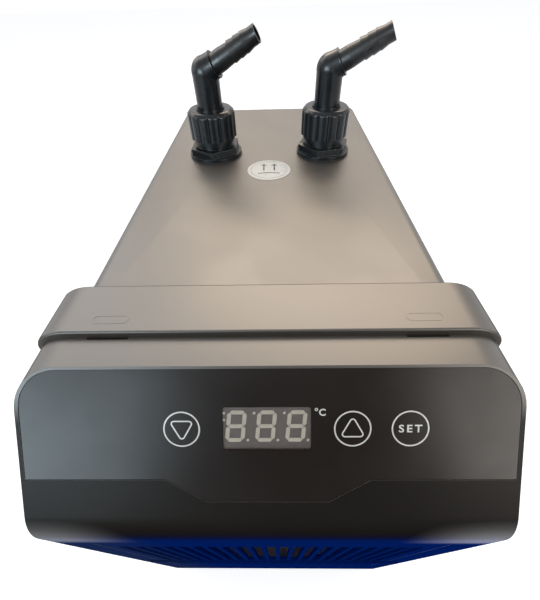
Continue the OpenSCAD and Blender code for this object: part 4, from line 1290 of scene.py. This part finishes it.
@dataclass
class Display:
    """The three unlit digits with their points, behind the window.

    Attributes:
        shop: The finishes.
        row: Recipe for the row of digits.
        panel: The panel's plane.
        up_slope: Distance of the keys up the slope.
        shift: Place of the digits' middle from the keys' line.
        sunk: Depth of the display's face below the panel plane.
        step: Distance between the digits.
        wide: Width of a digit.
        high: Height of a digit.
        slant: Slant of the digits, as a slope.
        bar: Width of a segment.
        gap: Half the gap between two segments.
        dot: Radius of a point.
        dot_out: Distance of the points from a digit's side.
        low_dot: How far the right point lies below the lowest segment.
        high_dot: How far the left point lies below the highest segment.
        lone_dot: Place of the display's own point from the left digit's middle.
        lone_radius: Radius of that point.
    """

    shop: Shop
    row: Recipe
    panel: Plane
    up_slope: float
    shift: Point = (-0.0003, 0.0007)
    sunk: float = 0.0013
    step: float = 0.0128
    wide: float = 0.0083
    high: float = 0.0139
    slant: float = 0.105
    bar: float = 0.0017
    gap: float = 0.00012
    dot: float = 0.00062
    dot_out: float = 0.0023
    low_dot: float = 0.0001
    high_dot: float = 0.0003
    lone_dot: Point = (-0.0051, 0.0028)
    lone_radius: float = 0.0006
    face: Plane = field(init=False)

    def __post_init__(self) -> None:
        """Places the display's face."""
        origin = self.panel.at(self.shift[0], self.up_slope + self.shift[1], -self.sunk)
        self.face = Plane(origin, self.panel.along, self.panel.up)

    def build(self) -> None:
        """Adds the digits and the lone point."""
        step = self.face.along * self.step
        digits = self.row.make("display_digits", mesh_from("digit", self.digit), Count=3,
                               Finish=self.shop.materials["segment_face"], Start=-step, Step=step)
        self.shop.keep(digits, "root", "display_face", "segment_face")
        u, v = self.lone_dot
        self.shop.draw("display_dot", lambda shape: flat_face(
            shape, self.face, circle(u - self.step, v, self.lone_radius, count=16)),
            "root", "display_face", "segment_face")

    def digit(self, shape: bmesh.types.BMesh) -> None:
        """Draws one slanted figure of seven segments with its two points.

        Args:
            shape: The mesh that it is drawn in.
        """
        bar, gap = self.bar / 2, self.gap
        half, top = self.wide / 2 - bar, self.high / 2 - bar

        def add(points: Iterable[Point]) -> None:
            """Leans an outline to the right and adds it."""
            flat_face(shape, self.face, [(u + v * self.slant, v) for u, v in points])

        end = half - gap
        for level in (-top, 0.0, top):
            add([(-end, level), (-end + bar, level - bar), (end - bar, level - bar), (end, level),
                 (end - bar, level + bar), (-end + bar, level + bar)])
        for side in (-half, half):
            for low, high in ((-top + gap, -gap), (gap, top - gap)):
                add([(side, low), (side + bar, low + bar), (side + bar, high - bar), (side, high),
                     (side - bar, high - bar), (side - bar, low + bar)])
        for u, v in ((half + self.dot_out, -top - self.low_dot),
                     (-half - self.dot_out, top - self.high_dot)):
            add(circle(u, v, self.dot, count=16))


@dataclass
class HoseFitting:
    """One water connection: gasket, bulkhead fitting, union nut, elbow and hose tail.

    Attributes:
        shop: The finishes.
        wall: Recipe for the nut.
        side: "left" or "right".
        flutes: Grooves round the nut.
        flute_depth: Depth of a groove.
        bevel: Height of the bevel at the nut's top.
        bore: Radius of the nut's bore.
        ring_radius: Outer radius of the ring on its top.
        ring_rise: Height of that ring.
        foot: Height of the plain foot below the flutes.
        foot_radius: Radius of that foot.
    """

    shop: Shop
    wall: Recipe
    side: str
    flutes: int = 14
    flute_depth: float = 0.0013
    bevel: float = 0.0025
    bore: float = 0.01035
    ring_radius: float = 0.0113
    ring_rise: float = 0.0012
    foot: float = 0.0032
    foot_radius: float = 0.0168

    def build(self) -> None:
        """Dresses the whole connection."""
        for node, rounding, angle in (("flange_seal", 0.0002, 32.0), ("fitting", 0.0005, 32.0),
                                      ("elbow", 0.0004, 40.0), ("hose_tail", 0.0003, 25.0)):
            self.shop.dressed_copy("%s_%s" % (node, self.side), rounding, angle)
        self.shop.dress_nodes(*("%s_%s" % (node, self.side)
                                for node in ("locknut", "o_ring", "slip_washer")))
        self.nut()

    def nut(self) -> None:
        """Replaces the union nut by one with soft flutes and a scalloped bevel."""
        node = "union_nut_" + self.side
        low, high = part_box(node)
        middle = (low + high) / 2
        piece = self.wall.make(
            node + "_dressed", bpy.data.meshes.new(node + "_seed"),
            Finish=self.shop.materials["fitting_plastic"], Radius=(high.x - low.x) / 2,
            Height=high.z - low.z - self.ring_rise, Lobes=self.flutes, Depth=self.flute_depth,
            Bevel=self.bevel, Bore=self.bore, Ring=self.ring_radius, Rise=self.ring_rise,
            Foot=self.foot, Foot_Radius=self.foot_radius, Place=Vector((middle.x, middle.y, low.z)))
        soften(piece.data, angle=50.0)
        self.shop.keep(piece, "nut_" + self.side, "fitting_plastic")
        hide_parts(node)


@dataclass
class RoundLabel:
    """The white label in front of the fittings, with a plain pictogram.

    Every length after the rounding is a share of the label's radius.

    Attributes:
        shop: The finishes.
        rounding: Rounding of the label's edge.
        ring: Outer radius of the grey ring.
        ring_line: Width of its line.
        arrows: Places of the two arrows across.
        foot: Place of the arrows' feet.
        tip: Place of their tips.
        stem: Half the width of their stems.
        head: Half the width of their heads.
        slope: Slope of their heads.
        line: Width of the lines of their heads.
        wing_cut: Height of a head's line at its ends, as a share of that width.
        tip_cut: The same at the tip.
        bar_half: Half the length of the bar below them.
        bar_place: Place of its top in the middle.
        bar_bow: How far its ends hang down.
        bar_thick: Its thickness.
        bar_steps: Steps of each half of it.
    """

    shop: Shop
    rounding: float = 0.0001
    ring: float = 0.85
    ring_line: float = 0.025
    arrows: Point = (-0.24, 0.25)
    foot: float = -0.1
    tip: float = 0.6
    stem: float = 0.036
    head: float = 0.13
    slope: float = 1.2
    line: float = 0.085
    wing_cut: float = 0.7
    tip_cut: float = 1.3
    bar_half: float = 0.49
    bar_place: float = -0.27
    bar_bow: float = 0.07
    bar_thick: float = 0.07
    bar_steps: int = 8

    def build(self) -> None:
        """Dresses the label and prints the ring, two arrows and a bar."""
        self.shop.dressed_copy("sticker", self.rounding, angle=60.0)
        low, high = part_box("sticker")
        radius, middle = (high.x - low.x) / 2, (low + high) / 2
        plane = Plane(Vector((middle.x, middle.y, high.z)), X_AXIS, Y_AXIS)

        def ring(shape: bmesh.types.BMesh) -> None:
            """Draws the ring."""
            flat_band(shape, plane, circle(0, 0, radius * self.ring, count=96),
                      circle(0, 0, radius * (self.ring - self.ring_line), count=96))

        def signs(shape: bmesh.types.BMesh) -> None:
            """Draws the arrows and the bar."""
            for outline in self.outlines():
                flat_face(shape, plane, [(radius * u, radius * v) for u, v in outline])

        self.shop.draw("label_ring", ring, "root", "sticker_film", "grey_print")
        self.shop.draw("label_signs", signs, "root", "sticker_film", "moulded_mark")

    def outlines(self) -> list[list[Point]]:
        """Gives the outlines of the arrows and the bar.

        Returns:
            The outlines, anticlockwise, as shares of the label's radius.
        """
        stem, head, line, tip = self.stem, self.head, self.line, self.tip
        wing = tip - head * self.slope
        cut = wing - line * self.wing_cut
        found: list[list[Point]] = []
        for u in self.arrows:
            found.append([(u - stem, self.foot), (u + stem, self.foot), (u + stem, tip - line),
                          (u - stem, tip - line)])
            found.append([(u + head, wing), (u, tip), (u - head, wing), (u - head, cut),
                          (u, tip - line * self.tip_cut), (u + head, cut)])
        shares = [k / self.bar_steps for k in range(self.bar_steps, -self.bar_steps - 1, -1)]
        bow = [(self.bar_half * k, self.bar_place - self.bar_bow * k ** 2) for k in shares]
        return found + [bow + [(u, v - self.bar_thick) for u, v in bow[::-1]]]


@dataclass
class Insides:
    """Everything behind the casing and the slots.

    Attributes:
        shop: The finishes.
        plain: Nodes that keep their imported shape.
        gland_rounding: Rounding of the cable gland's edges.
    """

    shop: Shop
    plain: tuple[str, ...] = (
        "exchanger_tank", "tank_lid", "tank_foam", "titanium_coil", "coil_risers",
        "temperature_probe", "compressor", "compressor_grommets", "compressor_nuts",
        "terminal_cover", "condenser_fins", "condenser_tubes", "condenser_brackets", "fan_shroud",
        "fan_motor", "fan_rotor", "filter_drier", "capillary_tube", "discharge_pipe",
        "suction_pipe", "liquid_line", "control_box", "power_board")
    gland_rounding: float = 0.0003

    def build(self) -> None:
        """Gives every inner node its finish, and dresses the gland that shows behind."""
        self.shop.dress_nodes(*self.plain)
        for node in ("cable_gland", "gland_nut"):
            self.shop.dressed_copy(node, self.gland_rounding)


# Studio

@dataclass(frozen=True)
class Lamp:
    """A soft light or a bright card.

    Attributes:
        name: Its name.
        place: Where it hangs.
        wide: Its width.
        high: Its height.
        level: Brightness of its face, where 1 is white.
        tint: Its colour.
        lights: Whether it lights matt surfaces too, or only shows as sheen.
    """

    name: str
    place: tuple[float, float, float]
    wide: float
    high: float
    level: float
    tint: Colour
    lights: bool = True

    def hang(self, aim: Vector) -> None:
        """Hangs the lamp where the camera doesn't see it.

        Args:
            aim: The point that it faces.
        """
        data = bpy.data.lights.new(self.name, "AREA")
        data.shape = "RECTANGLE"
        data.size = self.wide
        data.size_y = self.high
        data.energy = self.level * self.wide * self.high * math.pi
        data.color = self.tint
        lamp = new_piece(self.name, data)
        lamp.location = self.place
        lamp.rotation_euler = (aim - Vector(self.place)).to_track_quat("-Z", "Y").to_euler()
        lamp.visible_camera = False
        lamp.visible_diffuse = self.lights


LAMPS = (
    Lamp("key_softbox", (-0.2, 0.8, 2.5), 2.0, 2.0, 1.4, (1.0, 0.98, 0.95)),
    Lamp("back_sheen", (0.4, 1.68, 2.25), 2.8, 1.0, 10.4, (1.0, 0.8, 0.6), False),
    Lamp("back_left_sheen", (-1.5, 1.2, 1.95), 1.3, 1.4, 3.8, (1.0, 0.95, 0.9), False),
    Lamp("front_left_card", (-1.0, -1.35, 0.62), 1.0, 0.7, 19.0, (0.72, 0.9, 1.0), False),
    Lamp("front_right_card", (1.1, -1.3, 0.62), 0.8, 0.7, 15.5, (1.0, 0.96, 0.9), False),
    Lamp("front_fill", (-0.3, -1.9, 1.7), 1.6, 1.2, 2.0, (0.95, 0.98, 1.0)),
    Lamp("right_fill", (1.9, 0.2, 1.0), 1.2, 1.2, 1.4, (1.0, 0.97, 0.93)),
    Lamp("left_fill", (-1.9, 0.3, 1.0), 1.2, 1.2, 1.4, (0.92, 0.96, 1.0)))


@dataclass
class Studio:
    """Camera, floor, backdrop and lamps.

    Attributes:
        eye: Where the camera stands.
        pitch: How far it looks down, in degrees.
        yaw: How far it looks to the right, in degrees.
        roll: How far it is rolled, in degrees.
        focal: Focal length in pixels of a picture that is tall pixels high.
        tall: Height of that picture.
        soft: Strength of the light from all round.
        soft_tint: Its colour.
        floor_half: Half the floor's side.
        floor_shade: Brightness of the floor's paint.
        floor_glow: What the floor adds where it is seen, so that it is white but for the shadow.
        aim: The point that the lamps face.
    """

    eye: Vector = field(default_factory=lambda: Vector((0.00437, -0.21707, 0.46048)))
    pitch: float = 47.335
    yaw: float = -1.540
    roll: float = 1.758
    focal: float = 313.93
    tall: float = 600.0
    soft: float = 0.36
    soft_tint: Colour = (0.93, 0.96, 1.0)
    floor_half: float = 6.0
    floor_shade: float = 0.86
    floor_glow: float = 0.68
    aim: Vector = field(default_factory=lambda: Vector((0.0, 0.0, 0.3)))

    def build(self) -> None:
        """Sets up the whole studio."""
        self.camera()
        self.world()
        self.floor()
        for lamp in LAMPS:
            lamp.hang(self.aim)
        bpy.context.scene.view_settings.view_transform = "Standard"

    def camera(self) -> None:
        """Places the camera as the photograph's stood."""
        pitch, yaw, roll = (math.radians(angle) for angle in (self.pitch, self.yaw, self.roll))
        ahead = Vector((math.sin(yaw) * math.cos(pitch), math.cos(yaw) * math.cos(pitch),
                        -math.sin(pitch)))
        right = Vector((math.cos(yaw), -math.sin(yaw), 0.0))
        down = ahead.cross(right)
        turned_right = right * math.cos(roll) + down * math.sin(roll)
        turned_down = down * math.cos(roll) - right * math.sin(roll)
        data = bpy.data.cameras.new("camera")
        data.sensor_width = 36.0
        data.lens = self.focal / self.tall * data.sensor_width
        data.clip_start = 0.01
        data.clip_end = 50.0
        camera = new_piece("camera", data)
        rotation = Matrix((turned_right, -turned_down, -ahead)).transposed()
        camera.matrix_world = Matrix.Translation(self.eye) @ rotation.to_4x4()
        bpy.context.scene.camera = camera

    def world(self) -> None:
        """Makes a backdrop that is white where it is seen, and a soft light otherwise."""
        world = bpy.data.worlds.new("studio")
        bpy.context.scene.world = world
        graph = empty_graph(world)
        soft = graph.read("ShaderNodeBackground", "Background", Color=self.soft_tint,
                          Strength=self.soft)
        white = graph.read("ShaderNodeBackground", "Background", Color=(1.0, 1.0, 1.0),
                           Strength=1.0)
        mixed = graph.read("ShaderNodeMixShader", "Shader", I0=self.seen(graph), I1=soft, I2=white)
        graph.add("ShaderNodeOutputWorld", Surface=mixed)

    def seen(self, graph: Graph) -> Output:
        """Gives 1 where the camera, a reflection or clear plastic shows a surface."""
        path = graph.add("ShaderNodeLightPath")
        return graph.most(*(path.outputs["Is %s Ray" % kind]
                            for kind in ("Glossy", "Transmission", "Camera")))

    def floor(self) -> None:
        """Lays a plain pale floor that the camera sees as white but for the shadow."""
        def fill(shape: bmesh.types.BMesh) -> None:
            """Draws the floor as one large square."""
            shape.faces.new([shape.verts.new((x * self.floor_half, y * self.floor_half, 0.0))
                             for x, y in ((-1, -1), (1, -1), (1, 1), (-1, 1))])

        floor = new_piece("floor", mesh_from("floor", fill))
        material = bpy.data.materials.new("floor")
        graph = empty_graph(material)
        pale = graph.read("ShaderNodeBsdfDiffuse", "BSDF", Color=(self.floor_shade,) * 3)
        white = graph.read("ShaderNodeEmission", "Emission", Color=(1.0, 1.0, 1.0),
                           Strength=self.seen(graph) * self.floor_glow)
        both = graph.read("ShaderNodeAddShader", "Shader", I0=pale, I1=white)
        graph.add("ShaderNodeOutputMaterial", Surface=both)
        floor.data.materials.append(material)


def main() -> None:
    """Builds the studio and every sub-assembly."""
    logging.basicConfig(level=logging.INFO, format="%(name)s: %(message)s")
    Studio().build()
    shop = Shop()
    row, wall = row_recipe(), nut_recipe()
    Casing(shop).build()
    Front(shop).build()
    ControlPanel(shop, row).build()
    for side in ("left", "right"):
        HoseFitting(shop, wall, side).build()
    RoundLabel(shop).build()
    Insides(shop).build()
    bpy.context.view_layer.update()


if __name__ == "__main__":
    main()
